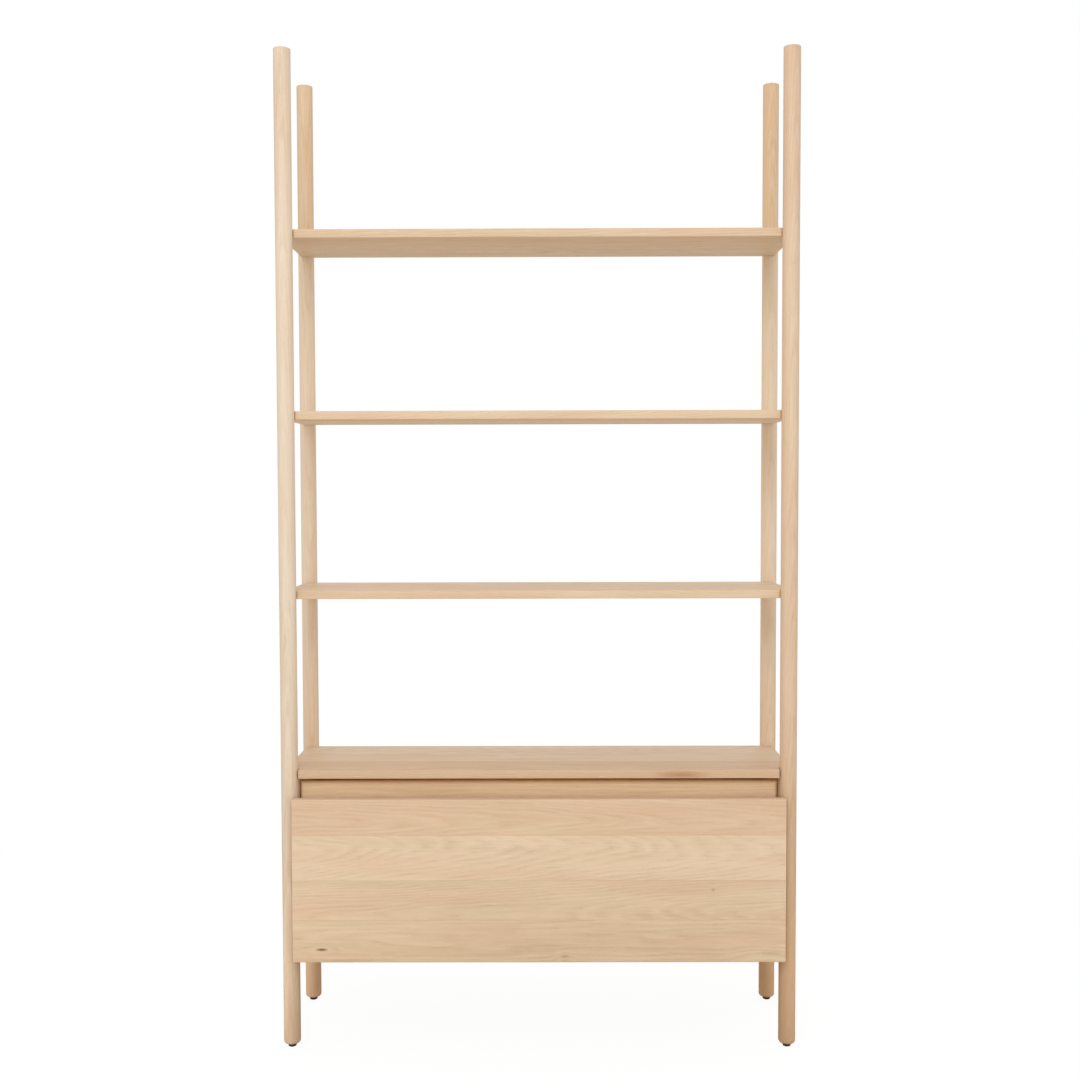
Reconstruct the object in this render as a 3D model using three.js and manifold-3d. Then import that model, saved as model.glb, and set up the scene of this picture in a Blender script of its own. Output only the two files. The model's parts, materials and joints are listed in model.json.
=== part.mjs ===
// A tall open bookcase of natural oak. Four round posts carry three shelves and a low cabinet, and the
// cabinet holds one wide drawer on ball-bearing runners. Millimetres, +Z up, the drawer faces -Y, and the
// origin is on the floor under the middle of the outline.

import * as THREE from "three";
import { RoundedBoxGeometry } from "three/addons/geometries/RoundedBoxGeometry.js";
import { mergeVertices } from "three/addons/utils/BufferGeometryUtils.js";
import Module from "manifold-3d";

// The whole bookcase
const OVERALL_WIDTH = 1100;
const OVERALL_HEIGHT = 2115;
const FRAME_DEPTH = 282; // over the front and back posts
const GLUE_GAP = 0.3; // what two fitted faces keep between them
const OVERRUN = 5; // how far a cut runs past the face that it opens
const WELD = 0.0001; // vertices closer than this are one vertex
const BORE_SIDES = 12;

// Posts and their glides
const POST_DIAMETER = 36;
const POST_SIDES = 28;
const POST_TOP_ROUND = 4;
const POST_FOOT_ROUND = 6;
const END_ROUND_STEPS = 3;
const GLIDE_HEIGHT = 7;
const GLIDE_TOP_DIAMETER = 20;
const GLIDE_FLOOR_DIAMETER = 16.5;
const GLIDE_EDGE = 0.8;
const GLIDE_STEM_DIAMETER = 8;
const GLIDE_STEM_LENGTH = 20;
const GLIDE_SIDES = 16;

// Shelves and cabinet top
const SHELF_NAMES = ["shelf_lower", "shelf_middle", "shelf_top"];
const POST_RISE_OVER_SHELVES = 370.5;
const BOARD_THICKNESS = 18;
const BOARD_ARRIS = 1.2; // the small bevel along a board's edges
const BOARD_ARRIS_STEPS = 1;
const SHELF_EDGE_INSET = 8; // from the line of the post axes back to a shelf's long edge
const BOARD_END_OVERHANG = 8; // past the line of the post axes, at the ends
const CABINET_TOP_HEIGHT = 600;
const CABINET_TOP_NOSE = 11; // how far its front edge stands ahead of the front post axes
const NOTCH_CLEARANCE = 1.5; // between a post and the round notch in a board's corner
const NOTCH_STEPS = 8;
const LIP_ROUND = 3; // where a notch meets a board's edge
const LIP_STEPS = 2;

// Dowels between boards and posts
const DOWEL_DIAMETER = 8;
const DOWEL_LENGTH = 40;
const DOWEL_CHAMFER = 1;
const DOWEL_IN_POST = 12;
const DOWEL_SIDES = 8;
const BORE_END_CLEARANCE = 1;

// Cabinet
const FLOOR_CLEARANCE = 195;
const CABINET_SIDE_THICKNESS = 18;
const CABINET_SIDE_REACH = 7; // how far the coped ends reach past the posts' inner tangents
const COPE_CLEARANCE = 0.5;
const CABINET_BOTTOM_THICKNESS = 16;
const CABINET_BOTTOM_RISE = 5; // its underside above the lower edge of the sides
const GROOVE_DEPTH = 6;
const TONGUE_STOP = 32; // from the end of a side to the start of its tongue
const CABINET_BACK_THICKNESS = 8;
const CABINET_BACK_INSET = 10;

// Drawer
const FINGER_GAP = 38.5; // from the drawer front up to the cabinet top
const FRONT_THICKNESS = 18;
const FRONT_STANDOFF = 2; // from the posts' front tangents to the back of the drawer front
const FRONT_POST_OVERLAP = 8; // how far the front covers each front post
const FRONT_ARRIS = 2;
const INNER_FRONT_SETBACK = 6; // behind the front post axes
const INNER_FRONT_THICKNESS = 15;
const INNER_FRONT_TOP_GAP = 10;
const INNER_FRONT_SIDE_GAP = 3; // from each of its ends to the cabinet side
const DRAWER_FLOOR_GAP = 8;
const DRAWER_BACK_GAP = 9;
const DRAWER_BOARD = 12;
const DRAWER_BOARD_ARRIS = 0.8;
const DRAWER_HEADROOM = 58; // from the drawer sides up to the cabinet top
const DRAWER_REBATE = 8;
const DRAWER_GROOVE_DEPTH = 5;
const DRAWER_BOTTOM_THICKNESS = 6;
const DRAWER_BOTTOM_RISE = 10;
const BATTEN_HEIGHT = 40;
const BATTEN_END_INSET = 15;
const FINGER_CHANNEL_DEPTH = 48;
const LOWER_BATTEN_RISE = 18;
const SCREW_INSET = 120; // from a batten's end to its screw
const SCREW_SHANK_DIAMETER = 4.5;
const SCREW_HEAD_DIAMETER = 9.5;
const SCREW_HEAD_HEIGHT = 2.8;
const SCREW_BITE = 12; // how far a screw enters the drawer front
const SCREW_TIP = 4;
const SCREW_SIDES = 12;
const BUMPER_DIAMETER = 10;
const BUMPER_INSET = 110; // from the end of the drawer front
const BUMPER_SIDES = 16;

// Runners: u runs from the cabinet side towards the drawer, w runs up
const RUNNER_GAP = 13; // from the cabinet side to the drawer side
const RUNNER_HEIGHT = 45;
const RUNNER_RISE = 70; // its middle above the lower edge of the drawer box
const RUNNER_REAR_INSET = 2;
const RUNNER_STEEL = 1.2;
const RUNNER_BEND = 1.2;
const BEND_STEPS = 3;
const RUNNER_OVERTRAVEL = 10; // closed length less the drawer's travel
const OUTER_BALL_DIAMETER = 5.4;
const INNER_BALL_DIAMETER = 3.2;
const BALL_CLEARANCE = 0.15;
const BALL_PITCH = 24;
const BALL_SIDES = 6;
const BALL_RINGS = 4;
const CAGE_STEEL = 0.6;
const CAGE_CLEARANCE = 0.25;
const CAGE_ARM_SHORTFALL = 0.4; // from an arm's end back from the far side of its ball
const CABINET_MEMBER_LIP = 3; // a lip's length counts from the middle of its flange
const MIDDLE_MEMBER_LIP = 2;
const DRAWER_MEMBER_LIP = 1.4;
const RUNNER_HOLE_DIAMETER = 4.5;
const RUNNER_HOLE_INSET = 25;

// Colours of the finishes
const OAK = { color: 0xdcbf98, roughness: 0.55, metalness: 0 };
const DRAWER_WOOD = { color: 0xe2cda8, roughness: 0.6, metalness: 0 };
const BEECH = { color: 0xd9b98c, roughness: 0.7, metalness: 0 };
const DARK_PLASTIC = { color: 0x41342b, roughness: 0.5, metalness: 0 };
const ZINC = { color: 0xb9bdc1, roughness: 0.35, metalness: 1 };
const CLEAR_RUBBER = { color: 0xd8d4cb, roughness: 0.7, metalness: 0 };

// Levels and planes that several pieces share
const POST_RADIUS = POST_DIAMETER / 2;
const POST_X = OVERALL_WIDTH / 2 - POST_RADIUS;
const POST_Y = FRAME_DEPTH / 2 - POST_RADIUS;
const POST_BASE = GLIDE_HEIGHT + GLUE_GAP;
const TOP_SHELF_HEIGHT = OVERALL_HEIGHT - POST_RISE_OVER_SHELVES;
const SHELF_PITCH = (TOP_SHELF_HEIGHT - CABINET_TOP_HEIGHT) / SHELF_NAMES.length;
const NOTCH_RADIUS = POST_RADIUS + NOTCH_CLEARANCE;
const CABINET_CEILING = CABINET_TOP_HEIGHT - BOARD_THICKNESS;
const CABINET_INNER_X = POST_X - POST_RADIUS;
const CABINET_SIDE_END = POST_Y - POST_RADIUS + CABINET_SIDE_REACH;
const CABINET_FLOOR = FLOOR_CLEARANCE + CABINET_BOTTOM_RISE + CABINET_BOTTOM_THICKNESS;
const CABINET_BACK_FACE = CABINET_SIDE_END - CABINET_BACK_INSET - CABINET_BACK_THICKNESS;
const FRONT_BACK_Y = -POST_Y - POST_RADIUS - FRONT_STANDOFF;
const FRONT_TOP = CABINET_CEILING - FINGER_GAP;
const INNER_FRONT_Y = -POST_Y + INNER_FRONT_SETBACK;
const INNER_FRONT_REAR = INNER_FRONT_Y + INNER_FRONT_THICKNESS;
const INNER_FRONT_X = CABINET_INNER_X - INNER_FRONT_SIDE_GAP;
const BOX_X = CABINET_INNER_X - RUNNER_GAP;
const BOX_BASE = CABINET_FLOOR + DRAWER_FLOOR_GAP;
const BOX_TOP = CABINET_CEILING - DRAWER_HEADROOM;
const BOX_REAR = CABINET_BACK_FACE - DRAWER_BACK_GAP;
const BOX_INNER_X = BOX_X - DRAWER_BOARD;
const DRAWER_FLOOR = BOX_BASE + DRAWER_BOTTOM_RISE;
const RUNNER_REAR = BOX_REAR - RUNNER_REAR_INSET;
const RUNNER_LENGTH = RUNNER_REAR - INNER_FRONT_REAR;
const DRAWER_TRAVEL = RUNNER_LENGTH - RUNNER_OVERTRAVEL;
const OUTLINE_FRONT = FRONT_BACK_Y - FRONT_THICKNESS;
const OUTLINE_BACK = FRAME_DEPTH / 2;

const SIDES = [
  { side: "left", across: -1 },
  { side: "right", across: 1 },
];
const CORNERS = [
  { end: "front", deep: -1 },
  { end: "back", deep: 1 },
].flatMap(({ end, deep }) =>
  SIDES.map(({ side, across }) => ({ corner: `${end}_${side}`, across, deep })),
);

const wasm = await Module();
wasm.setup();

// Solids from three.js geometry, and back

function solidOf(geometry) {
  const bare = geometry.clone();
  bare.deleteAttribute("normal");
  bare.deleteAttribute("uv");
  const merged = mergeVertices(bare, WELD);
  return new wasm.Manifold(
    new wasm.Mesh({
      numProp: 3,
      vertProperties: new Float32Array(merged.attributes.position.array),
      triVerts: new Uint32Array(merged.index.array),
    }),
  );
}

function geometryOf(solid) {
  const { vertProperties, triVerts } = solid.getMesh();
  const geometry = new THREE.BufferGeometry();
  geometry.setAttribute("position", new THREE.BufferAttribute(vertProperties, 3));
  geometry.setIndex(new THREE.BufferAttribute(triVerts, 1));
  geometry.computeVertexNormals();
  return geometry;
}

function piece(name, finish, solid) {
  const mesh = new THREE.Mesh(geometryOf(solid), new THREE.MeshStandardMaterial(finish));
  mesh.name = name;
  return mesh;
}

// A board or a cut between two corners, each axis given as [low, high]
function block(x, y, z, arris = 0) {
  const size = [x, y, z].map(([low, high]) => high - low);
  const centre = [x, y, z].map(([low, high]) => (low + high) / 2);
  const geometry = arris
    ? new RoundedBoxGeometry(...size, 1, arris)
    : new THREE.BoxGeometry(...size);
  return solidOf(geometry.translate(...centre));
}

// A solid turned round Z, from [radius, height] points that start and end on the axis
function turned(profile, sides) {
  const points = profile.map(([radius, height]) => new THREE.Vector2(radius, height));
  return solidOf(new THREE.LatheGeometry(points, sides).rotateX(Math.PI / 2));
}

function quarterRound(radius, height, round, steps, start) {
  return Array.from({ length: steps + 1 }, (_, i) => {
    const angle = start + (i / steps) * (Math.PI / 2);
    return [radius + round * Math.cos(angle), height + round * Math.sin(angle)];
  });
}

// A round bore along Z between two heights
function bore(diameter, low, high, sides = BORE_SIDES) {
  const geometry = new THREE.CylinderGeometry(diameter / 2, diameter / 2, high - low, sides);
  return solidOf(geometry.rotateX(Math.PI / 2).translate(0, 0, (low + high) / 2));
}

// Posts and glides

function postSolid() {
  const foot = quarterRound(
    POST_RADIUS - POST_FOOT_ROUND,
    POST_BASE + POST_FOOT_ROUND,
    POST_FOOT_ROUND,
    END_ROUND_STEPS,
    -Math.PI / 2,
  );
  const head = quarterRound(
    POST_RADIUS - POST_TOP_ROUND,
    OVERALL_HEIGHT - POST_TOP_ROUND,
    POST_TOP_ROUND,
    END_ROUND_STEPS,
    0,
  );
  const profile = [[0, POST_BASE], ...foot, ...head, [0, OVERALL_HEIGHT]];
  const stemBore = bore(
    GLIDE_STEM_DIAMETER + 2 * GLUE_GAP,
    POST_BASE - OVERRUN,
    GLIDE_HEIGHT + GLIDE_STEM_LENGTH + BORE_END_CLEARANCE,
  );
  return turned(profile, POST_SIDES).subtract(stemBore);
}

function glideSolid() {
  const top = GLIDE_TOP_DIAMETER / 2;
  const floor = GLIDE_FLOOR_DIAMETER / 2;
  const stem = GLIDE_STEM_DIAMETER / 2;
  const stemTop = GLIDE_HEIGHT + GLIDE_STEM_LENGTH;
  const profile = [
    [0, 0],
    [floor - GLIDE_EDGE, 0],
    [floor, GLIDE_EDGE],
    [top, GLIDE_HEIGHT - GLIDE_EDGE],
    [top - GLIDE_EDGE, GLIDE_HEIGHT],
    [stem, GLIDE_HEIGHT],
    [stem, stemTop - GLIDE_EDGE],
    [stem - GLIDE_EDGE, stemTop],
    [0, stemTop],
  ];
  return turned(profile, GLIDE_SIDES);
}

// A dowel, or the bore for one, lies level in a board's mid-plane. It points from the axis of a post
// along the diagonal of the board's corner.
function dowelCylinder({ across, deep }, radius, near, far, sides) {
  const geometry = new THREE.CylinderGeometry(radius, radius, far - near, sides);
  geometry.translate(0, (near + far) / 2, 0);
  geometry.rotateZ(Math.atan2(-deep, -across) - Math.PI / 2);
  return solidOf(geometry.translate(across * POST_X, deep * POST_Y, -BOARD_THICKNESS / 2));
}

const DOWEL_NEAR = POST_RADIUS - DOWEL_IN_POST;
const DOWEL_FAR = DOWEL_NEAR + DOWEL_LENGTH;

function dowelBore(corner) {
  return dowelCylinder(
    corner,
    DOWEL_DIAMETER / 2 + GLUE_GAP,
    DOWEL_NEAR - BORE_END_CLEARANCE,
    DOWEL_FAR + BORE_END_CLEARANCE,
    BORE_SIDES,
  );
}

function dowelSolid(corner) {
  const slim = DOWEL_DIAMETER / 2 - DOWEL_CHAMFER;
  const full = DOWEL_DIAMETER / 2;
  const length = DOWEL_LENGTH;
  const profile = [
    [0, 0],
    [slim, 0],
    [full, DOWEL_CHAMFER],
    [full, length - DOWEL_CHAMFER],
    [slim, length],
    [0, length],
  ].map(([radius, along]) => new THREE.Vector2(radius, DOWEL_NEAR + along));
  const geometry = new THREE.LatheGeometry(profile, DOWEL_SIDES);
  geometry.rotateZ(Math.atan2(-corner.deep, -corner.across) - Math.PI / 2);
  return solidOf(geometry.translate(0, 0, -BOARD_THICKNESS / 2));
}

// Boards with round notches

// One corner of a board in the quarter where X and Y are positive, from its long edge round the notch
// to its end edge
function notchPoints(edgeY, endX) {
  const wall = Math.max(edgeY - POST_Y, 0);
  const start = Math.PI + Math.asin(Math.max(POST_Y - edgeY, 0) / NOTCH_RADIUS);
  const stop = (3 * Math.PI) / 2 + Math.asin((endX - POST_X) / NOTCH_RADIUS);
  const onArc = (angle) =>
    new THREE.Vector2(
      POST_X + NOTCH_RADIUS * Math.cos(angle),
      POST_Y + NOTCH_RADIUS * Math.sin(angle),
    );
  const turn = Math.min(LIP_ROUND / NOTCH_RADIUS, (stop - start) / 3);
  const edgeCorner = new THREE.Vector2(onArc(start).x, edgeY);
  const endCorner = new THREE.Vector2(endX, onArc(stop).y);
  const first = wall > LIP_ROUND ? start : start + turn;
  const afterEdge =
    wall > LIP_ROUND ? new THREE.Vector2(edgeCorner.x, edgeY - LIP_ROUND) : onArc(first);
  const edgeLip = new THREE.QuadraticBezierCurve(
    new THREE.Vector2(edgeCorner.x - LIP_ROUND, edgeY),
    edgeCorner,
    afterEdge,
  ).getPoints(LIP_STEPS);
  const arc = Array.from({ length: NOTCH_STEPS + 1 }, (_, i) =>
    onArc(first + (i / NOTCH_STEPS) * (stop - turn - first)),
  );
  const endLip = new THREE.QuadraticBezierCurve(
    arc[NOTCH_STEPS],
    endCorner,
    new THREE.Vector2(endX, endCorner.y - LIP_ROUND),
  ).getPoints(LIP_STEPS);
  return [...edgeLip, ...(wall > LIP_ROUND ? arc : arc.slice(1)), ...endLip.slice(1)];
}

function notchedOutline(frontY, backY, endX) {
  const back = notchPoints(backY, endX);
  const front = notchPoints(-frontY, endX);
  const mirrored = (points, across, deep) =>
    points.map(({ x, y }) => new THREE.Vector2(across * x, deep * y));
  return new THREE.Shape([
    ...mirrored(front, 1, -1),
    ...mirrored(back, 1, 1).reverse(),
    ...mirrored(back, -1, 1),
    ...mirrored(front, -1, -1).reverse(),
  ]);
}

// A board whose top face lies at height zero
function notchedBoard(frontY, backY, endX, thickness) {
  const geometry = new THREE.ExtrudeGeometry(notchedOutline(frontY, backY, endX), {
    depth: thickness - 2 * BOARD_ARRIS,
    bevelThickness: BOARD_ARRIS,
    bevelSize: BOARD_ARRIS,
    bevelOffset: -BOARD_ARRIS,
    bevelSegments: BOARD_ARRIS_STEPS,
  });
  return solidOf(geometry.translate(0, 0, BOARD_ARRIS - thickness));
}

function boredBoard(frontY) {
  const board = notchedBoard(
    frontY,
    POST_Y - SHELF_EDGE_INSET,
    POST_X + BOARD_END_OVERHANG,
    BOARD_THICKNESS,
  );
  return CORNERS.reduce((left, corner) => left.subtract(dowelBore(corner)), board);
}

function cabinetTopSolid() {
  const tongueY = CABINET_SIDE_END - TONGUE_STOP + GLUE_GAP;
  return SIDES.reduce((left, { across }) => {
    const x = [CABINET_INNER_X - GLUE_GAP, CABINET_INNER_X + CABINET_SIDE_THICKNESS + GLUE_GAP];
    const groove = block(
      x.map((value) => across * value).sort((a, b) => a - b),
      [-tongueY, tongueY],
      [-BOARD_THICKNESS - OVERRUN, GROOVE_DEPTH + GLUE_GAP - BOARD_THICKNESS],
    );
    return left.subtract(groove);
  }, boredBoard(-POST_Y - CABINET_TOP_NOSE));
}

// Cabinet

function cabinetSideSolid(across) {
  const inner = CABINET_INNER_X;
  const outer = CABINET_INNER_X + CABINET_SIDE_THICKNESS;
  const toSide = (low, high) => [across * low, across * high].sort((a, b) => a - b);
  const panel = block(
    toSide(inner, outer),
    [-CABINET_SIDE_END, CABINET_SIDE_END],
    [FLOOR_CLEARANCE, CABINET_CEILING - GLUE_GAP],
  );
  const tongueEnd = CABINET_SIDE_END - TONGUE_STOP;
  const tongue = block(
    toSide(inner, outer),
    [-tongueEnd, tongueEnd],
    [CABINET_CEILING - OVERRUN, CABINET_CEILING + GROOVE_DEPTH],
  );
  const floorGroove = block(
    toSide(inner - OVERRUN, inner + GROOVE_DEPTH + GLUE_GAP),
    [-CABINET_SIDE_END - OVERRUN, CABINET_SIDE_END + OVERRUN],
    [CABINET_FLOOR - CABINET_BOTTOM_THICKNESS - GLUE_GAP, CABINET_FLOOR + GLUE_GAP],
  );
  const backGroove = block(
    toSide(inner - OVERRUN, inner + GROOVE_DEPTH + GLUE_GAP),
    [CABINET_BACK_FACE - GLUE_GAP, CABINET_BACK_FACE + CABINET_BACK_THICKNESS + GLUE_GAP],
    [CABINET_FLOOR, CABINET_CEILING + OVERRUN],
  );
  const copes = [-1, 1].map((deep) =>
    bore(POST_DIAMETER + 2 * COPE_CLEARANCE, 0, OVERALL_HEIGHT, POST_SIDES).translate([
      across * POST_X,
      deep * POST_Y,
      0,
    ]),
  );
  return [floorGroove, backGroove, ...copes].reduce(
    (left, cut) => left.subtract(cut),
    panel.add(tongue),
  );
}

function cabinetBottomSolid() {
  const endX = CABINET_INNER_X + GROOVE_DEPTH;
  const board = notchedBoard(
    FRONT_BACK_Y + FRONT_STANDOFF,
    CABINET_SIDE_END,
    endX,
    CABINET_BOTTOM_THICKNESS,
  );
  const backGroove = block(
    [-endX - OVERRUN, endX + OVERRUN],
    [CABINET_BACK_FACE - GLUE_GAP, CABINET_BACK_FACE + CABINET_BACK_THICKNESS + GLUE_GAP],
    [-GROOVE_DEPTH - GLUE_GAP, OVERRUN],
  );
  return board.subtract(backGroove);
}

function cabinetBackSolid() {
  const endX = CABINET_INNER_X + GROOVE_DEPTH;
  return block(
    [-endX, endX],
    [CABINET_BACK_FACE, CABINET_BACK_FACE + CABINET_BACK_THICKNESS],
    [CABINET_FLOOR - GROOVE_DEPTH, CABINET_CEILING - GLUE_GAP],
  );
}

// Drawer

const FRONT_X = CABINET_INNER_X + FRONT_POST_OVERLAP;
const UPPER_BATTEN_TOP = FRONT_TOP - FINGER_CHANNEL_DEPTH;
const LOWER_BATTEN_TOP = BOX_BASE + LOWER_BATTEN_RISE + BATTEN_HEIGHT;
const BATTEN_X = BOX_X - BATTEN_END_INSET;
const SCREWS = [UPPER_BATTEN_TOP, LOWER_BATTEN_TOP].flatMap((top, row) =>
  SIDES.map(({ side, across }) => ({
    name: `drawer_screw_${row ? "lower" : "upper"}_${side}`,
    x: across * (BATTEN_X - SCREW_INSET),
    z: top - BATTEN_HEIGHT / 2,
  })),
);

// The way of the four screws through the wood, along Y
function screwBores(solid) {
  const low = FRONT_BACK_Y - SCREW_BITE - BORE_END_CLEARANCE;
  const high = INNER_FRONT_REAR + OVERRUN;
  const radius = SCREW_SHANK_DIAMETER / 2 + GLUE_GAP;
  return SCREWS.reduce((left, { x, z }) => {
    const geometry = new THREE.CylinderGeometry(radius, radius, high - low, BORE_SIDES);
    return left.subtract(solidOf(geometry.translate(x, (low + high) / 2, z)));
  }, solid);
}

function drawerFrontSolid() {
  const panel = block(
    [-FRONT_X, FRONT_X],
    [FRONT_BACK_Y - FRONT_THICKNESS, FRONT_BACK_Y],
    [FLOOR_CLEARANCE, FRONT_TOP],
    FRONT_ARRIS,
  );
  return screwBores(panel);
}

function battenSolid(top) {
  const batten = block(
    [-BATTEN_X, BATTEN_X],
    [FRONT_BACK_Y + GLUE_GAP, INNER_FRONT_Y - GLUE_GAP],
    [top - BATTEN_HEIGHT, top],
    DRAWER_BOARD_ARRIS,
  );
  return screwBores(batten);
}

function bottomGroove(x, y) {
  return block(x, y, [
    DRAWER_FLOOR - GLUE_GAP,
    DRAWER_FLOOR + DRAWER_BOTTOM_THICKNESS + GLUE_GAP,
  ]);
}

function innerFrontSolid() {
  const panel = block(
    [-INNER_FRONT_X, INNER_FRONT_X],
    [INNER_FRONT_Y, INNER_FRONT_REAR],
    [BOX_BASE, CABINET_CEILING - INNER_FRONT_TOP_GAP],
    DRAWER_BOARD_ARRIS,
  );
  const rebates = [
    [-INNER_FRONT_X - OVERRUN, -BOX_INNER_X + GLUE_GAP],
    [BOX_INNER_X - GLUE_GAP, INNER_FRONT_X + OVERRUN],
  ].map((x) =>
    block(
      x,
      [INNER_FRONT_REAR - DRAWER_REBATE, INNER_FRONT_REAR + OVERRUN],
      [BOX_BASE - OVERRUN, BOX_TOP + GLUE_GAP],
    ),
  );
  const groove = bottomGroove(
    [-BOX_X - OVERRUN, BOX_X + OVERRUN],
    [INNER_FRONT_REAR - DRAWER_GROOVE_DEPTH, INNER_FRONT_REAR + OVERRUN],
  );
  return [...rebates, groove].reduce((left, cut) => left.subtract(cut), screwBores(panel));
}

function drawerSideSolid(across) {
  const toSide = (low, high) => [across * low, across * high].sort((a, b) => a - b);
  const panel = block(
    toSide(BOX_INNER_X, BOX_X),
    [INNER_FRONT_REAR - DRAWER_REBATE + GLUE_GAP, BOX_REAR],
    [BOX_BASE, BOX_TOP],
    DRAWER_BOARD_ARRIS,
  );
  const grooved = toSide(BOX_INNER_X - OVERRUN, BOX_INNER_X + DRAWER_GROOVE_DEPTH);
  const groove = bottomGroove(grooved, [-POST_Y - OVERRUN, BOX_REAR + OVERRUN]);
  const backRebate = block(
    grooved,
    [BOX_REAR - DRAWER_BOARD - GLUE_GAP, BOX_REAR + OVERRUN],
    [DRAWER_FLOOR, BOX_TOP + OVERRUN],
  );
  return panel.subtract(groove).subtract(backRebate);
}

const DRAWER_INFILL_X = BOX_INNER_X + DRAWER_GROOVE_DEPTH - GLUE_GAP;

function drawerBackSolid() {
  return block(
    [-DRAWER_INFILL_X, DRAWER_INFILL_X],
    [BOX_REAR - DRAWER_BOARD, BOX_REAR],
    [DRAWER_FLOOR + DRAWER_BOTTOM_THICKNESS + GLUE_GAP, BOX_TOP],
    DRAWER_BOARD_ARRIS,
  );
}

function drawerBottomSolid() {
  return block(
    [-DRAWER_INFILL_X, DRAWER_INFILL_X],
    [INNER_FRONT_REAR - DRAWER_GROOVE_DEPTH + GLUE_GAP, BOX_REAR],
    [DRAWER_FLOOR, DRAWER_FLOOR + DRAWER_BOTTOM_THICKNESS],
  );
}

// A screw along Y, its head towards +Y and its seat at zero
function screwGeometry() {
  const head = SCREW_HEAD_DIAMETER / 2;
  const shank = SCREW_SHANK_DIAMETER / 2;
  const length = INNER_FRONT_REAR - FRONT_BACK_Y + SCREW_BITE;
  const profile = [
    [0, -length],
    [shank, SCREW_TIP - length],
    [shank, 0],
    [head, 0],
    [head, SCREW_HEAD_HEIGHT / 2],
    [head - SCREW_HEAD_HEIGHT / 2, SCREW_HEAD_HEIGHT],
    [0, SCREW_HEAD_HEIGHT],
  ].map(([radius, along]) => new THREE.Vector2(radius, along));
  return new THREE.LatheGeometry(profile, SCREW_SIDES);
}

function bumperGeometry() {
  const radius = BUMPER_DIAMETER / 2;
  const thickness = FRONT_STANDOFF - 2 * GLUE_GAP;
  return new THREE.CylinderGeometry(radius, radius, thickness, BUMPER_SIDES);
}

// Runner sections: strips of steel bent round a centreline

// The corners of a centreline with each bend rounded
function withBends(corners, round) {
  const bends = corners.slice(1, -1).flatMap((corner, i) => {
    const before = corners[i].clone().sub(corner).setLength(round).add(corner);
    const after = corners[i + 2].clone().sub(corner).setLength(round).add(corner);
    return new THREE.QuadraticBezierCurve(before, corner, after).getPoints(BEND_STEPS);
  });
  return [corners[0], ...bends, corners.at(-1)];
}

// The outline of a strip of even thickness along a centreline
function stripShape(line, thickness) {
  const normals = line.slice(1).map((point, i) => {
    const along = point.clone().sub(line[i]).normalize();
    return new THREE.Vector2(-along.y, along.x);
  });
  const offset = (distance) =>
    line.map((point, i) => {
      const a = normals[Math.max(i - 1, 0)];
      const b = normals[Math.min(i, normals.length - 1)];
      const miter = a.clone().add(b).divideScalar(1 + a.dot(b));
      return miter.multiplyScalar(distance).add(point);
    });
  return new THREE.Shape([...offset(thickness / 2), ...offset(-thickness / 2).reverse()]);
}

// A channel section: a web at u = web, flanges out to u = reach at half height, and lips that turn
// away from the middle where lip is positive
function channelShape({ web, reach, half, lip, steel, bend }) {
  const upper = [new THREE.Vector2(web, half), new THREE.Vector2(reach, half)];
  if (lip) upper.push(new THREE.Vector2(reach, half + lip));
  const lower = upper.map(({ x, y }) => new THREE.Vector2(x, -y)).reverse();
  return stripShape(withBends([...lower, ...upper], bend), steel);
}

// A length of section along Y, its rear end at zero
function rolled(shape, length) {
  const geometry = new THREE.ExtrudeGeometry(shape, { depth: length, bevelEnabled: false });
  return solidOf(geometry.rotateX(Math.PI / 2));
}

// Where the balls run, and the faces that hold them
const OUTER_BALL = OUTER_BALL_DIAMETER / 2;
const INNER_BALL = INNER_BALL_DIAMETER / 2;
const OUTER_BALL_U = RUNNER_STEEL + BALL_CLEARANCE + OUTER_BALL;
const OUTER_BALL_W = RUNNER_HEIGHT / 2 - RUNNER_STEEL - BALL_CLEARANCE - OUTER_BALL;
const MIDDLE_HALF = OUTER_BALL_W - OUTER_BALL - BALL_CLEARANCE;
const MIDDLE_WEB_U = RUNNER_STEEL + 2 * CAGE_CLEARANCE + CAGE_STEEL;
const INNER_CAGE_U = MIDDLE_WEB_U + RUNNER_STEEL + CAGE_CLEARANCE;
const DRAWER_LIP_U = INNER_CAGE_U + CAGE_STEEL + CAGE_CLEARANCE;
const INNER_BALL_U = DRAWER_LIP_U + RUNNER_STEEL + BALL_CLEARANCE + INNER_BALL;
const INNER_BALL_W = MIDDLE_HALF - RUNNER_STEEL - BALL_CLEARANCE - INNER_BALL;
const DRAWER_MEMBER_HALF = INNER_BALL_W - INNER_BALL - BALL_CLEARANCE;
const RUNNER_THICKNESS = RUNNER_GAP - 2 * GLUE_GAP;

function punched(solid, web) {
  return [RUNNER_HOLE_INSET, RUNNER_LENGTH - RUNNER_HOLE_INSET].reduce((left, along) => {
    const hole = bore(RUNNER_HOLE_DIAMETER, -OVERRUN, OVERRUN).rotate([0, 90, 0]);
    return left.subtract(hole.translate([web, -along, 0]));
  }, solid);
}

function cabinetMemberSolid() {
  const shape = channelShape({
    web: RUNNER_STEEL / 2,
    reach: OUTER_BALL_U + OUTER_BALL + BALL_CLEARANCE + RUNNER_STEEL / 2,
    half: (RUNNER_HEIGHT - RUNNER_STEEL) / 2,
    lip: -CABINET_MEMBER_LIP,
    steel: RUNNER_STEEL,
    bend: RUNNER_BEND,
  });
  return punched(rolled(shape, RUNNER_LENGTH), 0);
}

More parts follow.
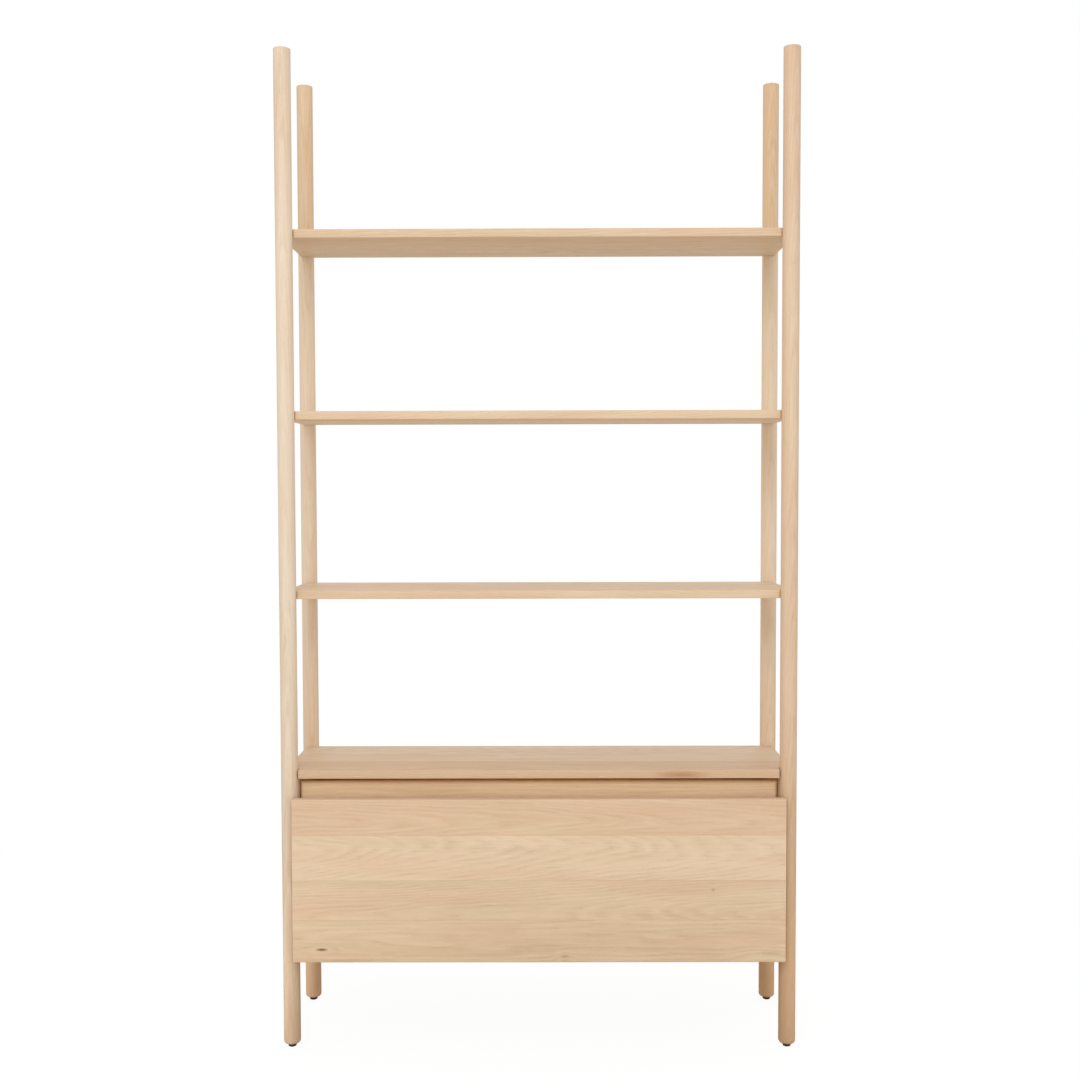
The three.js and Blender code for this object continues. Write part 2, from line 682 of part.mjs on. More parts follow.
function middleMemberSolid() {
  const shape = channelShape({
    web: MIDDLE_WEB_U + RUNNER_STEEL / 2,
    reach: INNER_BALL_U + INNER_BALL + BALL_CLEARANCE + RUNNER_STEEL / 2,
    half: MIDDLE_HALF - RUNNER_STEEL / 2,
    lip: -MIDDLE_MEMBER_LIP,
    steel: RUNNER_STEEL,
    bend: RUNNER_BEND,
  });
  return rolled(shape, RUNNER_LENGTH);
}

function drawerMemberSolid() {
  const shape = channelShape({
    web: RUNNER_THICKNESS - RUNNER_STEEL / 2,
    reach: DRAWER_LIP_U + RUNNER_STEEL / 2,
    half: DRAWER_MEMBER_HALF - RUNNER_STEEL / 2,
    lip: DRAWER_MEMBER_LIP,
    steel: RUNNER_STEEL,
    bend: RUNNER_BEND,
  });
  return punched(rolled(shape, RUNNER_LENGTH), RUNNER_THICKNESS);
}

// A cage strip with a row of balls along its upper and its lower arm. It is as long as stays between
// both members over the whole travel, because it moves half as far as they part.
function cageSolid(web, ballU, ballW, ball) {
  const length = RUNNER_LENGTH - DRAWER_TRAVEL / 2;
  const shape = channelShape({
    web: web + CAGE_STEEL / 2,
    reach: ballU + ball - CAGE_ARM_SHORTFALL,
    half: ballW,
    lip: 0,
    steel: CAGE_STEEL,
    bend: CAGE_STEEL,
  });
  const count = Math.floor((length - BALL_PITCH) / BALL_PITCH) + 1;
  const first = (length - (count - 1) * BALL_PITCH) / 2;
  const strip = rolled(shape, length);
  return Array.from({ length: 2 * count }, (_, i) => {
    const along = first + (i >> 1) * BALL_PITCH;
    const w = i % 2 ? ballW : -ballW;
    return solidOf(
      new THREE.SphereGeometry(ball, BALL_SIDES, BALL_RINGS).translate(ballU, -along, w),
    );
  }).reduce((left, sphere) => left.add(sphere), strip);
}

// Groups

function frameGroup() {
  const group = new THREE.Group();
  const levels = boardLevels().map(({ level }) => level);
  for (const corner of CORNERS) {
    const at = [corner.across * POST_X, corner.deep * POST_Y];
    const bores = levels.map((level) =>
      dowelBore(corner).translate([-at[0], -at[1], level]),
    );
    const post = piece(
      `post_${corner.corner}`,
      OAK,
      bores.reduce((left, cut) => left.subtract(cut), postSolid()),
    );
    const glide = piece(`glide_${corner.corner}`, DARK_PLASTIC, glideSolid());
    for (const mesh of [post, glide]) {
      mesh.position.set(...at, 0);
      group.add(mesh);
    }
  }
  return group;
}

function boardLevels() {
  const shelves = SHELF_NAMES.map((name, i) => ({
    name,
    level: CABINET_TOP_HEIGHT + (i + 1) * SHELF_PITCH,
  }));
  return [{ name: "cabinet_top", level: CABINET_TOP_HEIGHT }, ...shelves];
}

function boardsGroup() {
  const group = new THREE.Group();
  for (const { name, level } of boardLevels()) {
    const solid =
      name === "cabinet_top" ? cabinetTopSolid() : boredBoard(SHELF_EDGE_INSET - POST_Y);
    const board = piece(name, OAK, solid);
    board.position.z = level;
    group.add(board);
    for (const corner of CORNERS) {
      const dowel = piece(`${name}_dowel_${corner.corner}`, BEECH, dowelSolid(corner));
      dowel.position.set(corner.across * POST_X, corner.deep * POST_Y, level);
      group.add(dowel);
    }
  }
  return group;
}

function cabinetGroup() {
  const group = new THREE.Group();
  for (const { side, across } of SIDES)
    group.add(piece(`cabinet_side_${side}`, OAK, cabinetSideSolid(across)));
  const bottom = piece("cabinet_bottom", OAK, cabinetBottomSolid());
  bottom.position.z = CABINET_FLOOR;
  group.add(bottom, piece("cabinet_back", OAK, cabinetBackSolid()));
  return group;
}

function drawerGroup() {
  const group = new THREE.Group();
  group.add(
    piece("drawer_front", OAK, drawerFrontSolid()),
    piece("drawer_inner_front", OAK, innerFrontSolid()),
    piece("drawer_back", DRAWER_WOOD, drawerBackSolid()),
    piece("drawer_bottom", DRAWER_WOOD, drawerBottomSolid()),
    piece("drawer_batten_upper", OAK, battenSolid(UPPER_BATTEN_TOP)),
    piece("drawer_batten_lower", OAK, battenSolid(LOWER_BATTEN_TOP)),
  );
  for (const { side, across } of SIDES) {
    group.add(piece(`drawer_side_${side}`, DRAWER_WOOD, drawerSideSolid(across)));
    const bumper = piece(`drawer_bumper_${side}`, CLEAR_RUBBER, solidOf(bumperGeometry()));
    bumper.position.set(
      across * (FRONT_X - BUMPER_INSET),
      FRONT_BACK_Y + FRONT_STANDOFF / 2,
      CABINET_FLOOR - CABINET_BOTTOM_THICKNESS / 2,
    );
    group.add(bumper);
  }
  for (const { name, x, z } of SCREWS) {
    const screw = piece(name, ZINC, solidOf(screwGeometry()));
    screw.position.set(x, INNER_FRONT_REAR + GLUE_GAP, z);
    group.add(screw);
  }
  return group;
}

function runnerGroup({ side, across }) {
  const group = new THREE.Group();
  const cageRear = -DRAWER_TRAVEL / 4;
  const outerCage = cageSolid(
    RUNNER_STEEL + CAGE_CLEARANCE,
    OUTER_BALL_U,
    OUTER_BALL_W,
    OUTER_BALL,
  );
  const innerCage = cageSolid(INNER_CAGE_U, INNER_BALL_U, INNER_BALL_W, INNER_BALL);
  const members = [
    ["cabinet_member", cabinetMemberSolid(), 0],
    ["middle_member", middleMemberSolid(), 0],
    ["drawer_member", drawerMemberSolid(), 0],
    ["outer_cage", outerCage, cageRear],
    ["inner_cage", innerCage, cageRear],
  ];
  for (const [name, solid, rear] of members) {
    const mesh = piece(`runner_${side}_${name}`, ZINC, solid);
    mesh.position.y = rear;
    group.add(mesh);
  }
  group.position.set(
    across * (CABINET_INNER_X - GLUE_GAP),
    RUNNER_REAR,
    BOX_BASE + RUNNER_RISE,
  );
  group.scale.x = -across;
  return group;
}

const group = new THREE.Group();
const bookcase = new THREE.Group();
bookcase.add(frameGroup(), boardsGroup(), cabinetGroup(), drawerGroup(), ...SIDES.map(runnerGroup));
bookcase.position.y = -(OUTLINE_FRONT + OUTLINE_BACK) / 2;
group.add(bookcase);

export default group;
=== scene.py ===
# %% [markdown]
# # A tall oak bookcase with a bottom drawer
# Four round posts carry three shelves and a low cabinet, and the cabinet holds one wide drawer on
# ball-bearing runners. The measured solids come in first as a fixed frame. This lesson then makes finer
# wood, steel and plastic pieces over them, gives each a finish worked out by shader nodes, and sets up a
# pale studio with one camera.

# %% Load the fixed frame
import json
import math

import bpy
from mathutils import Matrix, Vector


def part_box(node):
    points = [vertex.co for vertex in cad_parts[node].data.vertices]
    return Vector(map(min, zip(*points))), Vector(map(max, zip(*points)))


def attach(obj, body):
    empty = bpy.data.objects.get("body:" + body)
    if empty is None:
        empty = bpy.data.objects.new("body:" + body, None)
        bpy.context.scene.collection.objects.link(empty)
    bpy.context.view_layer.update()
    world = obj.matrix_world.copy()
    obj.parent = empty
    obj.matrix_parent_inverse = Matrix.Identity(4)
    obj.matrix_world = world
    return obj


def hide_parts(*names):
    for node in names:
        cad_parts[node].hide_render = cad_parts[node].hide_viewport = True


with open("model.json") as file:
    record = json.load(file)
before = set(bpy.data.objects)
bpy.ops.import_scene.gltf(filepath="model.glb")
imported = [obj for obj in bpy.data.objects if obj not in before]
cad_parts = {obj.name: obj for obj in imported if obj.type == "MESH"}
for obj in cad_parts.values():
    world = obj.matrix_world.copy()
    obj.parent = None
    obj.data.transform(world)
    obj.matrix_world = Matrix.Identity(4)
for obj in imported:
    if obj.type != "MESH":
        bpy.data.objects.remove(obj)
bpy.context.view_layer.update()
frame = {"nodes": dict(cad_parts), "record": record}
MM = 0.001

# %% [markdown]
# ## What the frame already knows
# Each solid belongs to a body that moves as one, and to a finish with a name. A finer piece that stands
# for a solid takes its body from it. Reading the bodies from the imported record keeps the two models in
# step, with nothing typed twice.

# %% Bodies by solid
body_of = {node: body for body, nodes in frame["record"]["behaviour"]["bodies"].items() for node in nodes}
SIDES = ["left", "right"]
POSTS = [f"post_{end}_{side}" for end in ("front", "back") for side in SIDES]
SHELVES = ["shelf_lower", "shelf_middle", "shelf_top"]
print("bodies:", sorted(set(body_of.values())))


def middle(node):
    """The middle of a solid's box."""
    low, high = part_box(node)
    return (low + high) / 2


# %% [markdown]
# ## The camera
# The photograph was taken from straight in front, a little above the middle shelf, with a short tele
# lens. The camera could be set by eye, but the edges of the posts and boards in the picture give its
# place, its turn and its lens by calculation, so the numbers are used as they came out.

# %% Set up the camera
PICTURE_SIDE = 1080
FOCAL_PIXELS = 1245.26
SENSOR_WIDTH = 36.0
CAMERA_PLACE = 0.0162, -2.7477, 1.1997
CAMERA_TURN = 0.2625
CAMERA_TIP = 90 - 2.407
CAMERA_ROLL = -0.1456
lens = bpy.data.cameras.new("studio_camera")
lens.sensor_width = SENSOR_WIDTH
lens.lens = FOCAL_PIXELS / PICTURE_SIDE * SENSOR_WIDTH
camera = bpy.data.objects.new("studio_camera", lens)
bpy.context.scene.collection.objects.link(camera)
bpy.context.scene.camera = camera
turned = Matrix.Rotation(math.radians(CAMERA_TURN), 4, "Z")
tipped = Matrix.Rotation(math.radians(CAMERA_TIP), 4, "X")
rolled = Matrix.Rotation(math.radians(CAMERA_ROLL), 4, "Z")
camera.matrix_world = Matrix.Translation(CAMERA_PLACE) @ turned @ tipped @ rolled
print(f"lens {lens.lens:.2f} mm")

# %% [markdown]
# ## Shader maths that reads like sums
# A finish is a web of nodes. Wired by hand it soon becomes hard to read, so one small class wraps a
# socket: a sum written in Python then adds the Math nodes that do the same sum for each point of the
# surface. Any other node comes from the one method `node`, which sets the node up first and then fills or
# links its sockets.


# %% A wire that can be added and multiplied
class Wire:
    """A shader socket that takes part in sums."""

    def __init__(self, socket):
        self.socket = socket

    @staticmethod
    def node(tree, kind, settings=(), sockets=(), output=0):
        """Adds a node, sets it up, fills or links its sockets and returns the wire of one output."""
        made = tree.nodes.new("ShaderNode" + kind)
        for name, value in dict(settings).items():
            setattr(made, name, value)
        for name, value in dict(sockets).items():
            if isinstance(value, Wire):
                tree.links.new(value.socket, made.inputs[name])
            else:
                made.inputs[name].default_value = value
        return Wire(made.outputs[output])

    def math(self, operation, *values):
        """A Math node over the values, in the order given."""
        return Wire.node(self.socket.id_data, "Math", {"operation": operation}, dict(enumerate(values)))

    def __add__(self, other):
        return self.math("ADD", self, other)

    def __radd__(self, other):
        return self.math("ADD", other, self)

    def __sub__(self, other):
        return self.math("SUBTRACT", self, other)

    def __rsub__(self, other):
        return self.math("SUBTRACT", other, self)

    def __mul__(self, other):
        return self.math("MULTIPLY", self, other)

    def __rmul__(self, other):
        return self.math("MULTIPLY", other, self)

    def __pow__(self, power):
        return self.math("POWER", self, power)

    def __gt__(self, other):
        return self.math("GREATER_THAN", self, other)

    def __abs__(self):
        return self.math("ABSOLUTE", self)

    def rise(self, low, high):
        """0 below low, 1 above high and a soft step between."""
        settings = {"interpolation_type": "SMOOTHSTEP"}
        sockets = {"Value": self, "From Min": low, "From Max": high}
        return Wire.node(self.socket.id_data, "MapRange", settings, sockets)

    def part(self, number):
        """One part of a vector or colour."""
        return Wire.node(self.socket.id_data, "SeparateXYZ", {}, {0: self}, number)

    def vector_math(self, operation, *values, output=0):
        """A Vector Math node over the values, in the order given."""
        sockets = dict(enumerate(values))
        return Wire.node(self.socket.id_data, "VectorMath", {"operation": operation}, sockets, output)

    def scaled(self, factor):
        """A colour or vector times a number."""
        sockets = {0: self, "Scale": factor}
        return Wire.node(self.socket.id_data, "VectorMath", {"operation": "SCALE"}, sockets)

    def blend(self, other, share):
        """This colour with a share of another laid over it."""
        return blend(self.socket.id_data, self, other, share)


def blend(tree, first, second, share):
    """Two colours mixed, the second one by its share."""
    return Wire.node(tree, "Mix", {"data_type": "RGBA"}, {0: share, 6: first, 7: second}, 2)


print("Wire is ready")

# %% [markdown]
# ## Colours as the eye names them
# Colours are picked on a screen as three numbers up to 255, while the shader works with amounts of light.
# The curve between them is the screen's own, so a small function turns one into the other.


# %% Screen colours to light, and an empty finish
def screen(red, green, blue):
    """A screen colour as amounts of light, with full alpha."""

    def light(value):
        value /= 255
        return value / 12.92 if value <= 0.04045 else ((value + 0.055) / 1.055) ** 2.4

    return (light(red), light(green), light(blue), 1.0)


def new_finish(name, metallic=0.0, specular=0.5):
    """An empty material, its node tree and a function that links a wire to its shader."""
    material = bpy.data.materials.new(name)
    material.use_nodes = True
    tree = material.node_tree
    shader = tree.nodes["Principled BSDF"]
    shader.inputs["Metallic"].default_value = metallic
    shader.inputs["Specular IOR Level"].default_value = specular

    def feed(socket, wire):
        tree.links.new(wire.socket, shader.inputs[socket])

    return material, tree, feed


print("oak as light:", [round(value, 3) for value in screen(222, 193, 157)])

# %% [markdown]
# ## Oak, from the tree out
# A board shows the rings of its log: straight lines where the saw ran beside the heart, pointed arches
# where it cut the rings flat. A painted stripe pattern gives neither, so the recipe works in three
# dimensions. It puts the heart of a log near each glued strip, measures how far a point lies from it, and
# counts rings, while slow noise lets the log bend. Faces, edges and ends then agree, as on real wood.
# Each ring leaves a thin dark line and a thin pale one. Fibres, pores and pale flecks are noise drawn out
# along the grain, and wide soft clouds move the tone between straw and pink. All of it stays faint,
# because light lacquered oak looks almost even from across a room.

# %% Colours, places and strengths of the recipe
X, Y, Z = 0, 1, 2
PORE_BROWN = screen(158, 120, 80)
KNOT_BROWN = screen(110, 74, 44)
STREAK_RED = screen(168, 112, 74)
FLECK = screen(246, 228, 202)
PINK = screen(220, 180, 148)
STRAW = screen(214, 190, 146)
RING_WIDTH = 4.6 * MM
HEART_SIDEWAYS = 80 * MM
HEART_BELOW = 45 * MM
HEART_DEEPER = 60 * MM
TAPER = 0.16
SLOW_BEND = 26 * MM
QUICK_BEND = 6 * MM
KNOT_BEND = 6 * MM
KNOT_BEND_REACH = 3.0
# Painted shade: the heights in metres over which the posts' colour deepens towards the foot and the head.
PAINTED_FOOT_SHADE = 0.0, 0.96
PAINTED_HEAD_SHADE = 1.68, 1.8
TONE_SPREAD = 0.24
PINK_SPREAD = 0.25
MIDDLE_TONE = 0.36
RING_DARK, RING_PALE = 0.17, 0.14
FIBRE_TONE, FINE_TONE, PATCH_TONE = 0.42, 0.3, 0.6
FLECK_SHARE, PORE_SHARE, GLUE_SHARE = 0.3, 0.3, 0.25
STRAW_SHARE = 0.7
GLUE_LINE = 0.1 * MM, 0.7 * MM
END_GRAIN_SHADE = 0.16
OAK_ROUGHNESS, FIBRE_ROUGHNESS, PORE_ROUGHNESS = 0.42, 0.16, 0.15
FIBRE_HEIGHT, PORE_DEPTH, LINE_DEPTH = 0.5, 0.9, 0.25
GRAIN_BUMP, GRAIN_RELIEF = 0.35, 0.25 * MM
STRIDES = 0.618, 0.414, 0.732, 0.857, 0.291
STRIP_SHIFT = 5.31
print("ring width:", RING_WIDTH)

# %% [markdown]
# ## The noises and soft steps of the grain
# All fine detail of the wood is noise drawn out along the grain. Each kind has a length along the grain
# and a thickness across it, both in metres, and some have a detail and a shift of their own, so that no
# two kinds lie on the same spots. A soft step turns such noise into a mask: below its first value nothing
# shows, and above its second all of it. The steps of the dark and the pale line count along one ring,
# from 0 to 1, and the step of the end grain says how squarely a face must cut the fibres.

# %% The noises, the soft steps and the recipe itself
STEPS = {
    "dark_starts": (0.0, 0.1),
    "dark_fades": (0.16, 0.62),
    "pale_starts": (0.6, 0.72),
    "pale_fades": (0.8, 0.94),
    "worn": (0.38, 0.6),
    "flecks": (0.64, 0.74),
    "dashes": (0.6, 0.7),
    "pink": (0.42, 0.7),
    "straw": (0.5, 0.72),
    "end_grain": (0.7, 0.95),
}
NOISES = {
    "slow_bend": (0.5, 0.08),
    "quick_bend": (0.13, 0.02),
    "worn": (0.07, 0.007, 2.0, 14.6),
    "fibre": (0.12, 2.6 * MM, 3.0),
    "fine": (0.022, 0.8 * MM, 2.0, 3.7),
    "cloud": (0.5, 0.05, 2.0, 9.1),
    "patch": (0.26, 0.03, 3.0, 21.4),
    "flecks": (0.026, 1.5 * MM, 1.0, 27.5),
    "dashes": (7 * MM, 0.42 * MM, 1.0, 33.0),
}


def chance_of(seed, number):
    """A number from 0 to 1 that is always the same for a seed."""
    return math.modf(seed * STRIDES[number])[0]


def wood(
    name, node, grain, across, pale, deep, seed,
    seams=(), tones=(), tint=0.3, figure=1.0, pores=1.0, ends=(), knots=(),
):
    """A wood finish for a solid.

    grain and across are X, Y or Z: the way the fibres run, and the way that glued strips lie side by side.
    seams are the places of the glue lines. tones says for each strip how much deeper and how much pinker it
    is. ends says how much painted shade deepens the colour towards the low and the high end. Each knot is a
    place, its reach each way, its colour and its strength.
    """
    material, tree, feed = new_finish(name, specular=0.3)
    low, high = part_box(node)
    centre = (low + high) / 2
    through = 3 - grain - across
    place = Wire.node(tree, "TexCoord", output="Object")
    along = place.part(grain) - centre[grain]
    width = place.part(across)
    depth = place.part(through) - centre[through]

    def by_strip(values):
        """One value for each strip."""
        chosen = values[0]
        for seam, before, after in zip(seams, values, values[1:]):
            chosen = (width > seam) * (after - before) + chosen
        return chosen

    borders = [low[across], *seams, high[across]]
    middles = [(first + last) / 2 for first, last in zip(borders, borders[1:])]
    seeds = [seed + number for number in range(len(middles))]
    if not tones:
        shifts = [chance_of(each, 3) * TONE_SPREAD - TONE_SPREAD / 2 for each in seeds]
        tones = [(shift, chance_of(each, 4) * PINK_SPREAD) for shift, each in zip(shifts, seeds)]
    strip, strip_middle = by_strip(seeds), by_strip(middles)
    deeper, pinker = by_strip([pair[0] for pair in tones]), by_strip([pair[1] for pair in tones])
    luck = [by_strip([chance_of(each, number) for each in seeds]) for number in range(3)]

    def streaks(length, thickness, detail=2.0, shift=0.0):
        """Noise with spots of one length along the grain and one thickness across it."""
        sockets = {
            "X": along * (1 / length) + (strip * STRIP_SHIFT + shift),
            "Y": width * (1 / thickness),
            "Z": depth * (1 / thickness),
        }
        spot = Wire.node(tree, "CombineXYZ", {}, sockets)
        return Wire.node(tree, "TexNoise", {}, {"Vector": spot, "Scale": 1.0, "Detail": detail})

    side = width - strip_middle - (luck[0] - 0.5) * HEART_SIDEWAYS
    below = depth + (luck[1] * HEART_DEEPER + HEART_BELOW)
    bend = streaks(*NOISES["slow_bend"]) * SLOW_BEND + streaks(*NOISES["quick_bend"]) * QUICK_BEND
    radius = (side * side + below * below) ** 0.5 + along * ((luck[2] - 0.5) * TAPER) + bend
    cores = []
    for spot, reach, tone, strength in knots:
        away = place.vector_math("SUBTRACT", place, spot)
        away = away.vector_math("DIVIDE", away, reach)
        away = away.vector_math("LENGTH", away, output="Value")
        radius = (1 - away.rise(0.0, KNOT_BEND_REACH)) * KNOT_BEND + radius
        cores.append((tone, (1 - away.rise(0.0, 1.0)) * strength))
    turns = radius * (1 / RING_WIDTH)
    ring = turns.math("FRACT", turns)
    worn = streaks(*NOISES["worn"]).rise(*STEPS["worn"])
    dark_line = (ring.rise(*STEPS["dark_starts"]) - ring.rise(*STEPS["dark_fades"])) * (worn * 0.8 + 0.2)
    pale_line = (ring.rise(*STEPS["pale_starts"]) - ring.rise(*STEPS["pale_fades"])) * worn

    fibre = streaks(*NOISES["fibre"])
    fine = streaks(*NOISES["fine"])
    cloud = streaks(*NOISES["cloud"])
    patch = streaks(*NOISES["patch"])
    flecks = streaks(*NOISES["flecks"]).rise(*STEPS["flecks"])
    dashes = streaks(*NOISES["dashes"]).rise(*STEPS["dashes"]) * (dark_line * 0.7 + 0.3)

    rings = dark_line * (RING_DARK * figure) - pale_line * (RING_PALE * figure)
    amount = rings + (fibre - 0.5) * (FIBRE_TONE * figure)
    amount = amount + (fine - 0.5) * (FINE_TONE * figure) + (patch - 0.5) * PATCH_TONE
    amount = amount + (deeper + MIDDLE_TONE)
    # Painted shade: the colour deepens towards the foot, where shade gathers near the floor, and towards the
    # head, where the tops catch more light than the middle.
    if ends:
        level = place.part(grain)
        amount = (1 - level.rise(*PAINTED_FOOT_SHADE)) * ends[0] + level.rise(*PAINTED_HEAD_SHADE) * ends[1] + amount
    colour = blend(tree, pale, deep, amount.rise(0.0, 1.0))
    colour = colour.blend(PINK, cloud.rise(*STEPS["pink"]) * tint + pinker)
    colour = colour.blend(STRAW, (1 - cloud).rise(*STEPS["straw"]) * (tint * STRAW_SHARE))
    colour = colour.blend(FLECK, flecks * (FLECK_SHARE * figure))
    colour = colour.blend(PORE_BROWN, dashes * (PORE_SHARE * pores))
    for seam in seams:
        glue_line = 1 - abs(width - seam).rise(*GLUE_LINE)
        colour = colour.blend(PORE_BROWN, glue_line * GLUE_SHARE)
    for tone, core in cores:
        colour = colour.blend(tone, core)
    end_grain = abs(Wire.node(tree, "TexCoord", output="Normal").part(grain)).rise(*STEPS["end_grain"])
    feed("Base Color", colour.scaled(1 - end_grain * END_GRAIN_SHADE))

    feed("Roughness", fibre * FIBRE_ROUGHNESS + (dashes * PORE_ROUGHNESS + OAK_ROUGHNESS))
    height = fine * FIBRE_HEIGHT + fibre * FIBRE_HEIGHT
    height = height - dashes * (PORE_DEPTH * pores) - dark_line * LINE_DEPTH
    sockets = {"Strength": GRAIN_BUMP, "Distance": GRAIN_RELIEF, "Height": height}
    feed("Normal", Wire.node(tree, "Bump", {}, sockets))
    print(name, "strips:", len(middles))
    return material


def shares(node, axis, *parts):
    """Places along one axis of a solid's box, from shares of its length."""
    low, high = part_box(node)
    return [low[axis] + (high[axis] - low[axis]) * part for part in parts]


# %% [markdown]
# ## One finish for each board
# No two boards come from the same place in a log, so each piece of wood gets its own seed, and the wide
# ones are glued from strips whose seams lie where the photograph shows a change of tone. The front left
# post has paler, greyer colours, which are painted light for the white light that falls on it from the
# left, and the front right post is pinker. Every post has painted shade too: its colour deepens towards
# the foot and the head. The drawer front has a small dark knot near its lower left corner.

# %% Finishes for the oak pieces
PALE = screen(234, 211, 181)
DEEP = screen(204, 176, 142)
POST_TINT = 0.15
POST_FIGURE = 0.8
SHELF_SEED = 14.8
SEED_STEP = 3.1
STREAK_PLACE = Vector((0.305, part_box("cabinet_top")[0].y, 0.59))
STREAK_REACH = Vector((85, 40, 12)) * MM
STREAK_STRENGTH = 0.62
FRONT_SEAMS = 91, 176, 272
FRONT_SEED = 52.6
FRONT_FIGURE = 0.88
wood_of = {}
# Each post: its pale and deep colours, its seed, its tones, and the painted shade at its foot and its head.
POST_LOOKS = {
    # Front left post: paler, greyer colours, painted light for the white light that falls on it from the
    # left.
    "post_front_left": ((236, 221, 200), (212, 184, 152), 2.3, (-0.08, 0.0), (0.46, 0.12)),
    "post_front_right": ((232, 208, 181), (204, 170, 134), 7.9, (0.0, 0.08), (0.7, 0.16)),
    "post_back_left": ((238, 220, 197), (217, 182, 143), 4.6, (-0.15, 0.0), (0.68, 0.45)),
    "post_back_right": ((238, 220, 195), (216, 180, 138), 9.2, (-0.15, 0.0), (0.85, 0.45)),
}
for post, (pale_tone, deep_tone, seed, tones, ends) in POST_LOOKS.items():
    pair = screen(*pale_tone), screen(*deep_tone)
    wood_of[post] = wood(
        f"oak_{post}", post, Z, X, *pair, seed, tones=[tones], tint=POST_TINT, figure=POST_FIGURE, ends=ends
    )
SHELF_TONES = {
    "shelf_lower": [(0.02, 0.1), (0.04, 0.15), (0.0, 0.05)],
    "shelf_middle": [(0.0, 0.05), (-0.4, 0.0), (-0.4, 0.0)],
    "shelf_top": [(0.12, 0.1), (0.04, 0.15), (0.0, 0.05)],
}
for number, (shelf, tones) in enumerate(SHELF_TONES.items()):
    seams = shares(shelf, Y, 0.3, 0.64)
    seed = SHELF_SEED + SEED_STEP * number
    wood_of[shelf] = wood(f"oak_{shelf}", shelf, X, Y, PALE, DEEP, seed, seams, tones)
front_streak = (STREAK_PLACE, STREAK_REACH, STREAK_RED, STREAK_STRENGTH)
seams = shares("cabinet_top", Y, 0.34, 0.68)
tones = [(0.34, 0.3), (0.04, 0.1), (-0.02, 0.05)]
wood_of["cabinet_top"] = wood(
    "oak_cabinet_top", "cabinet_top", X, Y, PALE, DEEP, 11.7, seams, tones, knots=[front_streak]
)
low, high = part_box("drawer_front")
FRONT_KNOTS = [
    (Vector((low.x + 62 * MM, low.y, low.z + 28 * MM)), Vector((18, 12, 4.5)) * MM, KNOT_BROWN, 1.0),
    (Vector((low.x + 577 * MM, low.y, low.z + 13 * MM)), Vector((12, 12, 6)) * MM, KNOT_BROWN, 0.3),
    (Vector((low.x + 890 * MM, low.y, low.z + 156 * MM)), Vector((7, 12, 5)) * MM, KNOT_BROWN, 0.35),
    (Vector((high.x - 30 * MM, low.y, low.z + 20 * MM)), Vector((40, 12, 11)) * MM, KNOT_BROWN, 0.2),
]
seams = [low.z + height * MM for height in FRONT_SEAMS]
tones = [(0.03, 0.03), (0.02, 0.0), (-0.1, 0.0), (0.1, 0.25)]
wood_of["drawer_front"] = wood(
    "oak_drawer_front", "drawer_front", X, Z, PALE, DEEP, FRONT_SEED, seams, tones,
    figure=FRONT_FIGURE, knots=FRONT_KNOTS,
)
PANELS = {
    "cabinet_side_left": (Z, Y, 31.2, (0.36, 0.7)),
    "cabinet_side_right": (Z, Y, 33.5, (0.3, 0.66)),
    "cabinet_back": (X, Z, 41.5, (0.24, 0.49, 0.75)),
    "cabinet_bottom": (X, Y, 44.1, (0.34, 0.68)),
    "drawer_batten_upper": (X, Z, 66.3, ()),
    "drawer_batten_lower": (X, Z, 67.3, ()),
}
for panel, (grain, across, seed, parts) in PANELS.items():
    seams = shares(panel, across, *parts)
    wood_of[panel] = wood(f"oak_{panel}", panel, grain, across, PALE, DEEP, seed, seams)
# Painted light: the inner front stands in the shaded recess, so its colours are paler than the other oak to
# make up for the shade, and warmer, as its own tone is.
INNER_PALE = screen(245, 216, 175)
INNER_DEEP = screen(221, 185, 140)
seams = shares("drawer_inner_front", Z, 0.27, 0.52, 0.8)
wood_of["drawer_inner_front"] = wood(
    "oak_drawer_inner_front", "drawer_inner_front", X, Z, INNER_PALE, INNER_DEEP, 61.9, seams
)

# %% [markdown]
# ## The plainer wood inside the drawer
# A drawer box is made of a lighter, closer-grained wood than the parts that show, and the dowels are
# beech. Both come from the same recipe with softer rings, few pores and their own pair of colours.

# %% Finishes for the drawer box and the dowels
BOX_PALE = screen(238, 219, 190)
BOX_DEEP = screen(216, 190, 152)
BOX_LOOK = {"tint": 0.15, "figure": 0.7, "pores": 0.25}
BOX_BOARDS = {
    "drawer_side_left": (Y, Z, 71.4, ()),
    "drawer_side_right": (Y, Z, 72.4, ()),
    "drawer_back": (X, Z, 75.8, ()),
    "drawer_bottom": (X, Y, 78.2, (0.5,)),
}
for board, (grain, across, seed, parts) in BOX_BOARDS.items():
    seams = shares(board, across, *parts)
    wood_of[board] = wood(f"maple_{board}", board, grain, across, BOX_PALE, BOX_DEEP, seed, seams, **BOX_LOOK)
BEECH_PALE = screen(226, 196, 156)
BEECH_DEEP = screen(203, 164, 121)
BEECH_PORES = 0.3
FIRST_DOWEL = "cabinet_top_dowel_front_left"
beech = wood("beech_dowel", FIRST_DOWEL, X, Y, BEECH_PALE, BEECH_DEEP, 81.0, pores=BEECH_PORES)
for node, solid in frame["nodes"].items():
    if "_dowel_" in node:
        solid.data.materials.clear()
        solid.data.materials.append(beech)
print("wood finishes:", len(wood_of) + 1)

# %% [markdown]
# ## Zinc, plastic and rubber
# The runners are rolled from galvanised strip. Zinc sets in small crystals, which a Voronoi pattern shows
# as faint patches, and rolling draws streaks along the steel. The glides are dark moulded plastic with a
# fine grain and a dusty, scuffed rim near the floor. The bumpers are clear rubber, which looks grey and
# slightly clouded.


